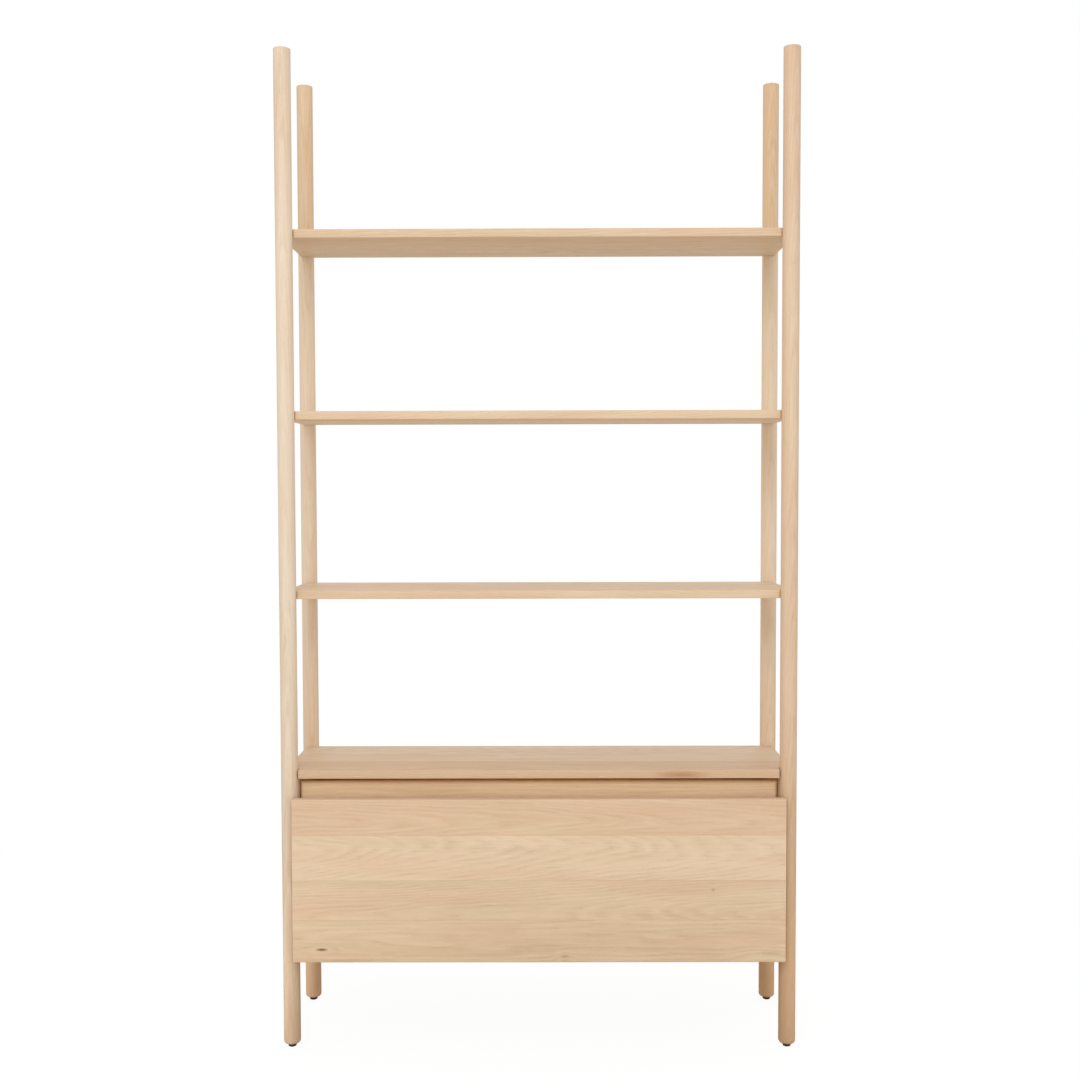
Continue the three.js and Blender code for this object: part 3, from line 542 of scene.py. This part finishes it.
# %% Finishes for the small parts
ZINC_GREY = screen(188, 190, 192)
ZINC_PALE = screen(205, 205, 203)
ZINC_CRYSTALS, ZINC_SPOTS = 210.0, 60.0
ROLLED_ACROSS, ROLLED_ALONG = 900, 14
GLIDE_BROWN = screen(60, 47, 38)
GLIDE_PALE = screen(78, 63, 51)
PLASTIC_GRAIN, PLASTIC_SCUFFS = 2600.0, 320.0
DUST = screen(140, 124, 106)
DUSTY_RIM = 0.3 * MM, 2.6 * MM
DUSTY_SCUFFS = 0.4, 0.7
RUBBER_GREY = screen(206, 204, 198)
RUBBER_PALE = screen(226, 224, 219)
RUBBER_CLOUDS, RUBBER_SPECKS = 240.0, 2200.0


def noise(tree, place, scale, detail=2.0):
    """Even noise with a number of spots to the metre."""
    return Wire.node(tree, "TexNoise", {}, {"Vector": place, "Scale": scale, "Detail": detail})


def zinc_finish():
    """Galvanised steel strip."""
    material, tree, feed = new_finish("zinc_steel", metallic=1.0)
    place = Wire.node(tree, "TexCoord", output="Object")
    crystal = Wire.node(tree, "TexVoronoi", {}, {"Vector": place, "Scale": ZINC_CRYSTALS}, "Color").part(0)
    sockets = {
        "X": place.part(X) * ROLLED_ACROSS,
        "Y": place.part(Y) * ROLLED_ALONG,
        "Z": place.part(Z) * ROLLED_ACROSS,
    }
    drawn = noise(tree, Wire.node(tree, "CombineXYZ", {}, sockets), 1.0)
    spots = noise(tree, place, ZINC_SPOTS)
    bright = crystal * 0.1 + drawn * 0.12 + spots * 0.1 + 0.8
    feed("Base Color", blend(tree, ZINC_GREY, ZINC_PALE, spots).scaled(bright))
    feed("Roughness", crystal * 0.08 + drawn * 0.14 + 0.24)
    sockets = {"Strength": 0.2, "Distance": 0.05 * MM, "Height": drawn + spots}
    feed("Normal", Wire.node(tree, "Bump", {}, sockets))
    return material


def plastic_finish():
    """Dark moulded plastic, scuffed and dusty near the floor."""
    material, tree, feed = new_finish("glide_plastic", specular=0.45)
    place = Wire.node(tree, "TexCoord", output="Object")
    grain = noise(tree, place, PLASTIC_GRAIN)
    scuffs = noise(tree, place, PLASTIC_SCUFFS, 4.0)
    near_floor = 1 - place.part(Z).rise(*DUSTY_RIM)
    dust = near_floor * scuffs.rise(*DUSTY_SCUFFS)
    colour = blend(tree, GLIDE_BROWN, GLIDE_PALE, scuffs)
    feed("Base Color", colour.blend(DUST, dust * 0.5))
    feed("Roughness", grain * 0.16 + dust * 0.2 + 0.38)
    sockets = {"Strength": 0.35, "Distance": 0.08 * MM, "Height": grain + scuffs * 0.6}
    feed("Normal", Wire.node(tree, "Bump", {}, sockets))
    return material


def rubber_finish():
    """Clear rubber that looks grey and slightly clouded."""
    material, tree, feed = new_finish("bumper_rubber", specular=0.4)
    place = Wire.node(tree, "TexCoord", output="Object")
    clouds = noise(tree, place, RUBBER_CLOUDS, 3.0)
    specks = noise(tree, place, RUBBER_SPECKS)
    feed("Base Color", blend(tree, RUBBER_GREY, RUBBER_PALE, clouds))
    feed("Roughness", clouds * 0.2 + specks * 0.15 + 0.4)
    sockets = {"Strength": 0.25, "Distance": 0.06 * MM, "Height": specks + clouds}
    feed("Normal", Wire.node(tree, "Bump", {}, sockets))
    return material


zinc, plastic, rubber = zinc_finish(), plastic_finish(), rubber_finish()
print("small finishes:", [finish.name for finish in (zinc, plastic, rubber)])

# %% [markdown]
# ## Tools that act on a selection
# Blender's modelling tools change whatever is selected, so the hand at work first picks one piece, then
# the faces or edges to change. In code they are found by where they lie and which way they face.
# Rounding, cutting and drawing out a stem are each used many times, so each is a small helper.


# %% Helpers that pick and shape
def only(piece):
    """Selects this piece alone and makes it the active one."""
    bpy.ops.object.select_all(action="DESELECT")
    piece.select_set(True)
    bpy.context.view_layer.objects.active = piece


def pick(piece, kind, test):
    """Opens edit mode with the FACEs or EDGEs selected that pass a test.

    A face is tested by its middle and its normal, and an edge by its two ends.
    """
    only(piece)
    bpy.ops.object.mode_set(mode="EDIT")
    bpy.ops.mesh.select_mode(type=kind)
    bpy.ops.mesh.select_all(action="DESELECT")
    bpy.ops.object.mode_set(mode="OBJECT")
    mesh = piece.data
    if kind == "FACE":
        for face in mesh.polygons:
            face.select = test(face.center, face.normal)
    else:
        for edge in mesh.edges:
            edge.select = test(*(mesh.vertices[end].co for end in edge.vertices))
    bpy.ops.object.mode_set(mode="EDIT")


def round_edges(piece, test, width, steps):
    """Rounds the edges that pass a test."""
    pick(piece, "EDGE", test)
    bpy.ops.mesh.bevel(offset=width, segments=steps, affect="EDGES")
    bpy.ops.object.mode_set(mode="OBJECT")


def inset_and_push(piece, test, rim, push):
    """Insets a face by a rim and pushes its middle along: inwards it leaves a bore, outwards a stem."""
    pick(piece, "FACE", test)
    bpy.ops.mesh.inset(thickness=rim)
    bpy.ops.mesh.extrude_region_move(TRANSFORM_OT_translate={"value": push})
    bpy.ops.object.mode_set(mode="OBJECT")


def settle():
    """Puts the active object's place, turn and size into its mesh, and returns it."""
    bpy.ops.object.transform_apply(location=True, rotation=True, scale=True)
    return bpy.context.object


def block(low, high):
    """A block between two corners."""
    bpy.ops.object.select_all(action="DESELECT")
    bpy.ops.mesh.primitive_cube_add(size=1, location=(low + high) / 2, scale=high - low)
    return settle()


def round_bar(radius, length, centre, sides, turn=(0.0, 0.0, 0.0), end_radius=None):
    """A round bar with its middle at a place, along Z unless turned. With an end radius it tapers."""
    if end_radius is None:
        end_radius = radius
    bpy.ops.object.select_all(action="DESELECT")
    bpy.ops.mesh.primitive_cone_add(
        vertices=sides, radius1=radius, radius2=end_radius, depth=length, location=centre, rotation=turn
    )
    return settle()


print("shaping helpers are ready")

# %% [markdown]
# ## Modifiers that are applied
# A cut and a soft edge come from modifiers, because they can be set exactly and then made part of the
# mesh. The soft edge matters for the looks: no real edge is perfectly sharp, and the narrow round catches
# a line of light.

# %% Helpers that cut, soften and copy
SMOOTH_ANGLE = math.radians(32)
WELD = 0.05 * MM


def cut(piece, cutter):
    """Takes the cutter's shape out of the piece."""
    only(piece)
    modifier = piece.modifiers.new("cut", "BOOLEAN")
    modifier.operation = "DIFFERENCE"
    modifier.solver = "EXACT"
    modifier.object = cutter
    bpy.ops.object.modifier_apply(modifier=modifier.name)
    bpy.data.objects.remove(cutter)


def weld(piece, distance=WELD):
    """Merges corners that lie closer than a distance."""
    only(piece)
    bpy.ops.object.mode_set(mode="EDIT")
    bpy.ops.mesh.select_all(action="SELECT")
    bpy.ops.mesh.remove_doubles(threshold=distance)
    bpy.ops.object.mode_set(mode="OBJECT")


def soften(piece, width, steps=3, angle=40):
    """Rounds all edges that turn by more than an angle."""
    only(piece)
    modifier = piece.modifiers.new("soft_edges", "BEVEL")
    modifier.width = width
    modifier.segments = steps
    modifier.limit_method = "ANGLE"
    modifier.angle_limit = math.radians(angle)
    bpy.ops.object.modifier_apply(modifier=modifier.name)


def copied(piece, offset=(0, 0, 0)):
    """A copy of a piece with its own mesh, moved by an offset."""
    only(piece)
    bpy.ops.object.duplicate()
    bpy.ops.transform.translate(value=offset)
    return settle()


def hand_over(piece, node, finish):
    """Names and paints a finished piece, lets it ride with its solid's body, and hides the solid."""
    only(piece)
    bpy.ops.object.shade_smooth_by_angle(angle=SMOOTH_ANGLE)
    piece.name = piece.data.name = f"fine_{node}"
    piece.data.materials.clear()
    piece.data.materials.append(finish)
    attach(piece, body_of[node])
    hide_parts(node)
    print(piece.name, "faces:", len(piece.data.polygons))


# %% [markdown]
# ## The posts
# Each post is a turned oak bar as tall as the bookcase. It could be one long cylinder, but the real one
# has a softened head, a well rounded foot and a bore for the glide's stem, so both rims are bevelled and
# the foot's face is inset and pushed in. One post is made and copied to the other corners.

# %% Make the four posts
POST_SIDES = 96
HEAD_ROUND = 1.5 * MM
FOOT_ROUND = 6 * MM
STEM_BORE = 4.3 * MM
low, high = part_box("post_front_left")
foot, head = low.z, high.z
first_centre = middle("post_front_left")
post_radius = (high.x - low.x) / 2
post = round_bar(post_radius, head - foot, first_centre, POST_SIDES)
round_edges(post, lambda a, b: min(a.z, b.z) > head - MM, HEAD_ROUND, steps=6)
round_edges(post, lambda a, b: max(a.z, b.z) < foot + MM, FOOT_ROUND, steps=8)
bore_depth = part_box("glide_front_left")[1].z + MM - foot
inset_and_push(
    post,
    lambda spot, normal: spot.z < foot + WELD and normal.z < -0.9,
    post_radius - FOOT_ROUND - STEM_BORE,
    (0, 0, bore_depth),
)
for node in POSTS[1:]:
    hand_over(copied(post, middle(node) - first_centre), node, wood_of[node])
hand_over(post, POSTS[0], wood_of[POSTS[0]])

# %% [markdown]
# ## The glides
# A glide keeps the end of the post off the floor. It flares from the floor up to a flat shoulder, and its
# stem is pressed into the post. A cone gives the flare, bevels soften its two rims, and the stem is drawn
# out of its top.

# %% Make the four glides
GLIDE_HEIGHT = 7 * MM
GLIDE_FLOOR_RADIUS = 8.25 * MM
GLIDE_EDGE = 0.8 * MM
GLIDE_SIDES = 64
STEM_RADIUS = 4 * MM
low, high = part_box("glide_front_left")
glide_radius = (high.x - low.x) / 2
first_centre = middle("glide_front_left")
glide_middle = Vector((first_centre.x, first_centre.y, GLIDE_HEIGHT / 2))
glide = round_bar(GLIDE_FLOOR_RADIUS, GLIDE_HEIGHT, glide_middle, GLIDE_SIDES, end_radius=glide_radius)
round_edges(glide, lambda a, b: abs(a.z - b.z) < WELD, GLIDE_EDGE, steps=4)
inset_and_push(
    glide,
    lambda spot, normal: spot.z > GLIDE_HEIGHT - WELD and normal.z > 0.99,
    glide_radius - GLIDE_EDGE - STEM_RADIUS,
    (0, 0, high.z - GLIDE_HEIGHT),
)
round_edges(glide, lambda a, b: min(a.z, b.z) > high.z - WELD, GLIDE_EDGE, steps=3)
for node in POSTS[1:]:
    node = node.replace("post", "glide")
    hand_over(copied(glide, middle(node) - first_centre), node, plastic)
hand_over(glide, "glide_front_left", plastic)

# %% [markdown]
# ## Boards that close round the posts
# Every shelf ends in four round notches, a shade wider than the posts, so each board seems to grip them.
# They could be drawn point by point, but a boolean with a round cutter is exact. The cutter is turned so
# that one of its corners falls on the lip where the notch meets the board's edge, because a lip can only
# be rounded well if no sliver of a face lies beside it. The cabinet top reaches further forward than the
# post axes, so there the cutter is sliced in half and its flat side drawn forward, which gives a notch
# with straight walls.

# %% Notches, lips and soft edges
NOTCH_RADIUS = 19.5 * MM
NOTCH_SIDES = 36
BOARD_ARRIS = 1.2 * MM
STRAIGHT_NOTCH_LIPS = 3 * MM, 1.2 * MM
ROUND_NOTCH_LIPS = 2.8 * MM, 1.8 * MM
LIP_STEPS = 5


def notch(board, node, post_node):
    """Cuts the notch for one post and returns its two lips.

    A lip is a place in plan and the width of its rounding. The first lies on the board's long edge and the
    second on its end.
    """
    low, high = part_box(node)
    axis = middle(post_node)
    across, deep = math.copysign(1, axis.x), math.copysign(1, axis.y)
    end = high.x if across > 0 else low.x
    edge = high.y if deep > 0 else low.y
    short_of_axis = max((axis.y - edge) * deep, 0.0)
    straight = short_of_axis == 0
    centre = Vector((axis.x, axis.y, (low.z + high.z) / 2))
    lip_angle = math.asin(short_of_axis / NOTCH_RADIUS) % (math.tau / NOTCH_SIDES)
    turn = (0, 0, across * deep * lip_angle)
    cutter = round_bar(NOTCH_RADIUS, 4 * (high.z - low.z), centre, NOTCH_SIDES, turn)
    if straight:
        pick(cutter, "FACE", lambda spot, normal: True)
        bpy.ops.mesh.bisect(plane_co=centre, plane_no=(0, deep, 0), use_fill=True, clear_outer=True)
        bpy.ops.object.mode_set(mode="OBJECT")
        pick(cutter, "FACE", lambda spot, normal: normal.y * deep > 0.999)
        bpy.ops.mesh.extrude_region_move(TRANSFORM_OT_translate={"value": (0, deep * NOTCH_RADIUS, 0)})
        bpy.ops.object.mode_set(mode="OBJECT")
    cut(board, cutter)
    reach = math.sqrt(NOTCH_RADIUS**2 - short_of_axis**2)
    end_reach = math.sqrt(NOTCH_RADIUS**2 - (end - axis.x) ** 2)
    edge_round, end_round = STRAIGHT_NOTCH_LIPS if straight else ROUND_NOTCH_LIPS
    return [(axis.x - across * reach, edge, edge_round), (end, axis.y - deep * end_reach, end_round)]


def notched_board(node):
    """A board with a notch for each post, rounded lips and soft edges."""
    board = block(*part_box(node))
    lips = [lip for post in POSTS for lip in notch(board, node, post)]
    weld(board)
    for x, y, width in lips:
        round_edges(
            board,
            lambda a, b: max(abs(a.x - x), abs(b.x - x), abs(a.y - y), abs(b.y - y)) < 2 * WELD,
            width,
            LIP_STEPS,
        )
    soften(board, BOARD_ARRIS)
    return board


shelf = notched_board("shelf_lower")
for node in SHELVES[1:]:
    hand_over(copied(shelf, middle(node) - middle("shelf_lower")), node, wood_of[node])
hand_over(shelf, "shelf_lower", wood_of["shelf_lower"])

# %% [markdown]
# ## The cabinet top
# The cabinet top is notched like the shelves and also takes the tongues of the two side panels, in
# grooves along its underside. The grooves are cut after the edges are softened, so that their own edges
# stay crisp, as a router leaves them.

# %% Make the cabinet top
GROOVE_DEPTH = 6.3 * MM
GROOVE_SPARE = 0.3 * MM
TONGUE_STOP = 32 * MM
cabinet_top = notched_board("cabinet_top")
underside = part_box("cabinet_top")[0].z
for side in SIDES:
    low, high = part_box(f"cabinet_side_{side}")
    spare = Vector((GROOVE_SPARE, GROOVE_SPARE - TONGUE_STOP, 0))
    groove_low, groove_high = low - spare, high + spare
    groove_low.z, groove_high.z = underside - GROOVE_DEPTH, underside + GROOVE_DEPTH
    cut(cabinet_top, block(groove_low, groove_high))
hand_over(cabinet_top, "cabinet_top", wood_of["cabinet_top"])

# %% [markdown]
# ## The drawer front
# The drawer front is one thick panel that hides the cabinet behind it. Its edges are clearly rounded,
# which the photograph shows as a soft light line along the top, so the bevel is wide and has four steps.

# %% Make the drawer front
FRONT_ROUND = 2 * MM
drawer_front = block(*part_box("drawer_front"))
soften(drawer_front, FRONT_ROUND, steps=4)
hand_over(drawer_front, "drawer_front", wood_of["drawer_front"])

# %% [markdown]
# ## Panels that are already right
# The panels, battens and drawer boards have the right shape in the solids, grooves and rebates included.
# Only their edges are too sharp. A copy of each solid is merged into whole faces first, because its mesh
# is loose triangles, and then a narrow bevel softens it.

# %% Soften the panels and the runner members
PANEL_ARRIS = {"cabinet": 0.9 * MM, "drawer": 0.6 * MM, "runner": 0.18 * MM}
FLAT = math.radians(0.5)
FINE_WELD = 0.01 * MM


def whole_copy(node):
    """A copy of a solid with whole faces in place of loose triangles."""
    piece = bpy.data.objects.new(node + "_copy", frame["nodes"][node].data.copy())
    bpy.context.scene.collection.objects.link(piece)
    weld(piece, FINE_WELD)
    pick(piece, "FACE", lambda spot, normal: True)
    bpy.ops.mesh.dissolve_limited(angle_limit=FLAT)
    bpy.ops.object.mode_set(mode="OBJECT")
    return piece


def hand_over_softened(piece, node, finish):
    """Softens the edges of a copied solid and hands it over."""
    soften(piece, PANEL_ARRIS[node.split("_")[0]], steps=2)
    hand_over(piece, node, finish)


plain_panels = [panel for panel in wood_of if panel.startswith(("cabinet_", "drawer_"))]
for node in plain_panels:
    if node not in ("cabinet_top", "drawer_front", "drawer_inner_front"):
        hand_over_softened(whole_copy(node), node, wood_of[node])
for side in SIDES:
    for member in ("cabinet", "middle", "drawer"):
        node = f"runner_{side}_{member}_member"
        hand_over_softened(whole_copy(node), node, zinc)

# %% [markdown]
# ## The inner front
# Behind the gap where fingers reach in stands the inner front. The photograph shows its face darken
# softly towards the cabinet top, as a well rounded edge does. The solid has a small flat there already,
# so a bevel would find no sharp corner to start from. Planes that each touch the same round shave the
# edge instead, one after the other, like strokes of a block plane, along the top and then down both ends.

# %% Shave the edges of the inner front
INNER_FRONT_ROUND = 10 * MM
STROKES = 8
inner_front = whole_copy("drawer_inner_front")
low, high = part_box("drawer_inner_front")
forward = Vector((0, -1, 0))
for outward in (Vector((0, 0, 1)), Vector((-1, 0, 0)), Vector((1, 0, 0))):
    corner = Vector((high.x if outward.x > 0 else low.x, low.y, high.z))
    for stroke in range(1, STROKES):
        angle = math.pi / 2 * stroke / STROKES
        facing = forward * math.cos(angle) + outward * math.sin(angle)
        touch = corner + (facing - forward - outward) * INNER_FRONT_ROUND
        pick(inner_front, "FACE", lambda spot, normal: True)
        bpy.ops.mesh.bisect(plane_co=touch, plane_no=facing, use_fill=True, clear_outer=True)
        bpy.ops.object.mode_set(mode="OBJECT")
weld(inner_front)
hand_over_softened(inner_front, "drawer_inner_front", wood_of["drawer_inner_front"])

# %% [markdown]
# ## The ball cages
# Between the runner's members, thin steel cages hold two rows of balls apart. A cage is a strip bent into
# a channel: a box loses its open side and its ends, its long bends are rounded, and Solidify gives it the
# thickness of the steel. One ball is made and copied along both arms. The right-hand cages are mirror
# copies, and since mirroring turns a mesh inside out, their normals are put right.

# %% Make the ball cages
CAGE_STEEL = 0.6 * MM
BALL_PITCH = 24 * MM
BALLS_IN_ROW = 4
CAGES = {
    "outer_cage": {"web": 1.75, "reach": 6.35, "half": 18.45, "ball_at": 4.05, "ball": 2.7},
    "inner_cage": {"web": 4.05, "reach": 8.75, "half": 12.65, "ball_at": 7.55, "ball": 1.6},
}


def cage(node, sizes):
    """One cage of the left runner, with its balls."""
    web, reach, half, ball_at, ball = (value * MM for value in sizes.values())
    low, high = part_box(node)
    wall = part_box("runner_left_cabinet_member")[0].x
    level = (low.z + high.z) / 2
    strip = block(Vector((wall + web, low.y, level - half)), Vector((wall + reach, high.y, level + half)))
    pick(strip, "FACE", lambda spot, normal: normal.x > 0.9 or abs(normal.y) > 0.9)
    bpy.ops.mesh.delete(type="ONLY_FACE")
    bpy.ops.object.mode_set(mode="OBJECT")
    web_plane = wall + web + WELD
    round_edges(
        strip,
        lambda a, b: max(a.x, b.x) < web_plane and abs(a.z - b.z) < WELD,
        CAGE_STEEL,
        steps=4,
    )
    thickness = strip.modifiers.new("steel", "SOLIDIFY")
    thickness.thickness = CAGE_STEEL
    thickness.offset = 0
    only(strip)
    bpy.ops.object.modifier_apply(modifier=thickness.name)
    first = (low.y + high.y - (BALLS_IN_ROW - 1) * BALL_PITCH) / 2
    bpy.ops.object.select_all(action="DESELECT")
    bpy.ops.mesh.primitive_uv_sphere_add(
        segments=20, ring_count=12, radius=ball, location=(wall + ball_at, first, level - half)
    )
    one = settle()
    places = [(0, row * BALL_PITCH, rise) for row in range(BALLS_IN_ROW) for rise in (0, 2 * half)]
    balls = [copied(one, place) for place in places[1:]]
    only(strip)
    for part in [one, *balls]:
        part.select_set(True)
    bpy.ops.object.join()
    return strip


def mirrored(piece):
    """A mirror copy on the other side of the bookcase, with its normals put right."""
    twin = copied(piece)
    twin.scale.x = -1
    settle()
    pick(twin, "FACE", lambda spot, normal: True)
    bpy.ops.mesh.normals_make_consistent(inside=False)
    bpy.ops.object.mode_set(mode="OBJECT")
    return twin


for name, sizes in CAGES.items():
    left_cage = cage(f"runner_left_{name}", sizes)
    hand_over(mirrored(left_cage), f"runner_right_{name}", zinc)
    hand_over(left_cage, f"runner_left_{name}", zinc)

# %% [markdown]
# ## Screws and bumpers
# Four screws hold the drawer front from inside the drawer. A screw starts as its round head. The rim is
# domed by a bevel, the shank and its point are drawn out of the other side, and a cross is cut for the
# driver. The two bumpers are flat rubber buttons that the drawer front closes on.

# %% Make the screws and the bumpers
HEAD_RADIUS = 4.75 * MM
HEAD_HEIGHT = 2.8 * MM
SHANK_RADIUS = 2.25 * MM
POINT = 4 * MM
POINT_SHARE = 0.1
DOME = 1.5 * MM
SLOT = Vector((2.7, 1.5, 0.55)) * MM
SCREW_SIDES, BUMPER_SIDES = 40, 48
BUMPER_ROUND = 0.45 * MM
ALONG_Y = (math.pi / 2, 0, 0)
screws = [f"drawer_screw_{row}_{side}" for row in ("upper", "lower") for side in SIDES]
low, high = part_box(screws[0])
first_centre = middle(screws[0])
seat = high.y - HEAD_HEIGHT
head_middle = Vector((first_centre.x, seat + HEAD_HEIGHT / 2, first_centre.z))
screw = round_bar(HEAD_RADIUS, HEAD_HEIGHT, head_middle, SCREW_SIDES, turn=ALONG_Y)
round_edges(screw, lambda a, b: min(a.y, b.y) > high.y - WELD, DOME, steps=5)
shank_end = low.y + POINT
inset_and_push(
    screw,
    lambda spot, normal: normal.y < -0.9 and spot.y < seat + WELD,
    HEAD_RADIUS - SHANK_RADIUS,
    (0, shank_end - seat, 0),
)
pick(screw, "FACE", lambda spot, normal: normal.y < -0.9 and spot.y < shank_end + WELD)
bpy.ops.mesh.extrude_region_move(TRANSFORM_OT_translate={"value": (0, -POINT, 0)})
tip = (first_centre.x, low.y, first_centre.z)
bpy.ops.transform.resize(value=(POINT_SHARE, 1, POINT_SHARE), center_override=tip)
bpy.ops.object.mode_set(mode="OBJECT")
for long_way, short_way in ((X, Z), (Z, X)):
    reach = Vector((0, SLOT[1], 0))
    reach[long_way], reach[short_way] = SLOT[0], SLOT[2]
    face = Vector((first_centre.x, high.y, first_centre.z))
    cut(screw, block(face - reach, face + reach))
for node in screws[1:]:
    hand_over(copied(screw, middle(node) - first_centre), node, zinc)
hand_over(screw, screws[0], zinc)

low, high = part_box("drawer_bumper_left")
first_centre = middle("drawer_bumper_left")
bumper = round_bar((high.x - low.x) / 2, high.y - low.y, first_centre, BUMPER_SIDES, turn=ALONG_Y)
round_edges(bumper, lambda a, b: abs(a.y - b.y) < WELD, BUMPER_ROUND, steps=4)
hand_over(copied(bumper, middle("drawer_bumper_right") - first_centre), "drawer_bumper_right", rubber)
hand_over(bumper, "drawer_bumper_left", rubber)

# %% [markdown]
# ## The air and the lamps
# The photograph has a pure white ground and soft, even light, a little stronger from the upper left. So
# the air of the studio gives most of the light. It looks fully white to the camera but shines a little
# less on the wood, or the wood would look washed out. A large key lamp stands to the left, and a fill
# lamp beside the camera lights what faces it. Two small lamps with narrow beams, low on both sides, give
# the legs the pale outer edges that they have in the photograph.

# %% Light the air and hang the lamps
AIR = 0.82
scene = bpy.context.scene
scene.view_settings.view_transform = "Standard"
world = bpy.data.worlds.new("studio_air")
world.use_nodes = True
scene.world = world
air = world.node_tree.nodes["Background"]
air.inputs["Color"].default_value = (1, 1, 1, 1)
seen = Wire.node(world.node_tree, "LightPath", output="Is Camera Ray")
world.node_tree.links.new((seen * (1 - AIR) + AIR).socket, air.inputs["Strength"])


def hang_lamp(name, watts, size, place, aim, beam):
    """A round soft lamp that points at a spot, with a beam that opens by an angle in degrees."""
    lamp = bpy.data.lights.new(name, "AREA")
    lamp.shape = "DISK"
    lamp.size = size
    lamp.spread = math.radians(beam)
    lamp.energy = watts
    hung = bpy.data.objects.new(name, lamp)
    scene.collection.objects.link(hung)
    place, aim = Vector(place), Vector(aim)
    hung.location = place
    hung.rotation_euler = (aim - place).to_track_quat("-Z", "Y").to_euler()
    print(name, watts, "W")


LAMPS = {
    "key_lamp": (36, 2.4, (-0.5, -3.1, 3.2), (0, 0, 0.9), 180),
    "fill_lamp": (9, 1.4, (0.4, -4.0, 1.2), (0, 0, 0.8), 180),
    "leg_lamp_left": (0.18, 0.3, (-1.5, -0.5, 0.12), (-0.5, 0, 0.09), 40),
    "leg_lamp_right": (0.1, 0.3, (1.5, -0.5, 0.12), (0.5, 0, 0.09), 40),
}
for name, settings in LAMPS.items():
    hang_lamp(name, *settings)

# %% [markdown]
# ## A warm glow inside the cabinet
# In the photograph the gap over the drawer front is brown and not black, because pale wood passes light
# on from board to board inside. So little of it reaches a render that a faint warm strip lamp stands in
# for it. The strip lies in the drawer, shines up at the cabinet top and is hidden from the camera.

# %% Lay the strip lamp in the drawer
STRIP_WATTS = 0.24
STRIP_COLOUR = (1.0, 0.64, 0.27)
STRIP_SIZE = 0.95, 0.12
STRIP_PLACE = (0, -0.02, 0.535)
FACING_UP = (math.pi, 0, 0)
glow = bpy.data.lights.new("cabinet_glow", "AREA")
glow.shape = "RECTANGLE"
glow.size, glow.size_y = STRIP_SIZE
glow.energy = STRIP_WATTS
glow.color = STRIP_COLOUR
strip = bpy.data.objects.new("cabinet_glow", glow)
scene.collection.objects.link(strip)
strip.location = STRIP_PLACE
strip.rotation_euler = FACING_UP
strip.visible_camera = False
print(strip.name, STRIP_WATTS, "W")

# %% [markdown]
# ## The ground
# A white floor throws much light upwards, and the undersides of the boards would turn white with it,
# where the photograph shows them deep and warm. The floor could be made darker, but then the ground would
# no longer be white. So two sheets share the work, as in many studios: the camera sees only a white,
# softly glowing floor that still takes faint shadows, and the wood sees only a card below it, brown near
# the posts and pale further out.

# %% Lay the floor and the card
GROUND_SIZE = 30
GLOW = 0.92
TAKES_SHADOW = 0.1
CARD_NEAR = (0.42, 0.28, 0.16, 1.0)
CARD_FAR = (0.77, 0.72, 0.66, 1.0)
FLOOR_FADE = 0.9, 2.2
CARD_FADE = 0.4, 1.3
CARD_DEPTH = 1 * MM
CARD_DEPTH_WEIGHT = 2.0


def ground_sheet(name, height, depth_weight):
    """A wide level sheet, with its node tree and its feed.

    The last thing returned is how far each point lies from the bookcase, where the way from front to back
    may weigh more.
    """
    bpy.ops.object.select_all(action="DESELECT")
    bpy.ops.mesh.primitive_plane_add(size=GROUND_SIZE, location=(0, 0, height))
    sheet = settle()
    sheet.name = name
    material, tree, feed = new_finish(name, specular=0.0)
    sheet.data.materials.append(material)
    place = Wire.node(tree, "TexCoord", output="Object")
    place = place.vector_math("MULTIPLY", place, (1, depth_weight, 1))
    return sheet, tree, feed, place.vector_math("LENGTH", place, output="Value")


floor, tree, feed, distance = ground_sheet("studio_floor", 0.0, 1.0)
far = distance.rise(*FLOOR_FADE)
feed("Base Color", blend(tree, (TAKES_SHADOW, TAKES_SHADOW, TAKES_SHADOW, 1), (0, 0, 0, 1), far))
feed("Emission Color", blend(tree, (GLOW, GLOW, GLOW, 1), (1, 1, 1, 1), far))
tree.nodes["Principled BSDF"].inputs["Emission Strength"].default_value = 1.0
floor.visible_diffuse = floor.visible_glossy = floor.visible_transmission = floor.visible_shadow = False

card, tree, feed, distance = ground_sheet("bounce_card", -CARD_DEPTH, CARD_DEPTH_WEIGHT)
feed("Base Color", blend(tree, CARD_NEAR, CARD_FAR, distance.rise(*CARD_FADE)))
card.visible_camera = card.visible_shadow = False
print("ground sheets:", floor.name, card.name)
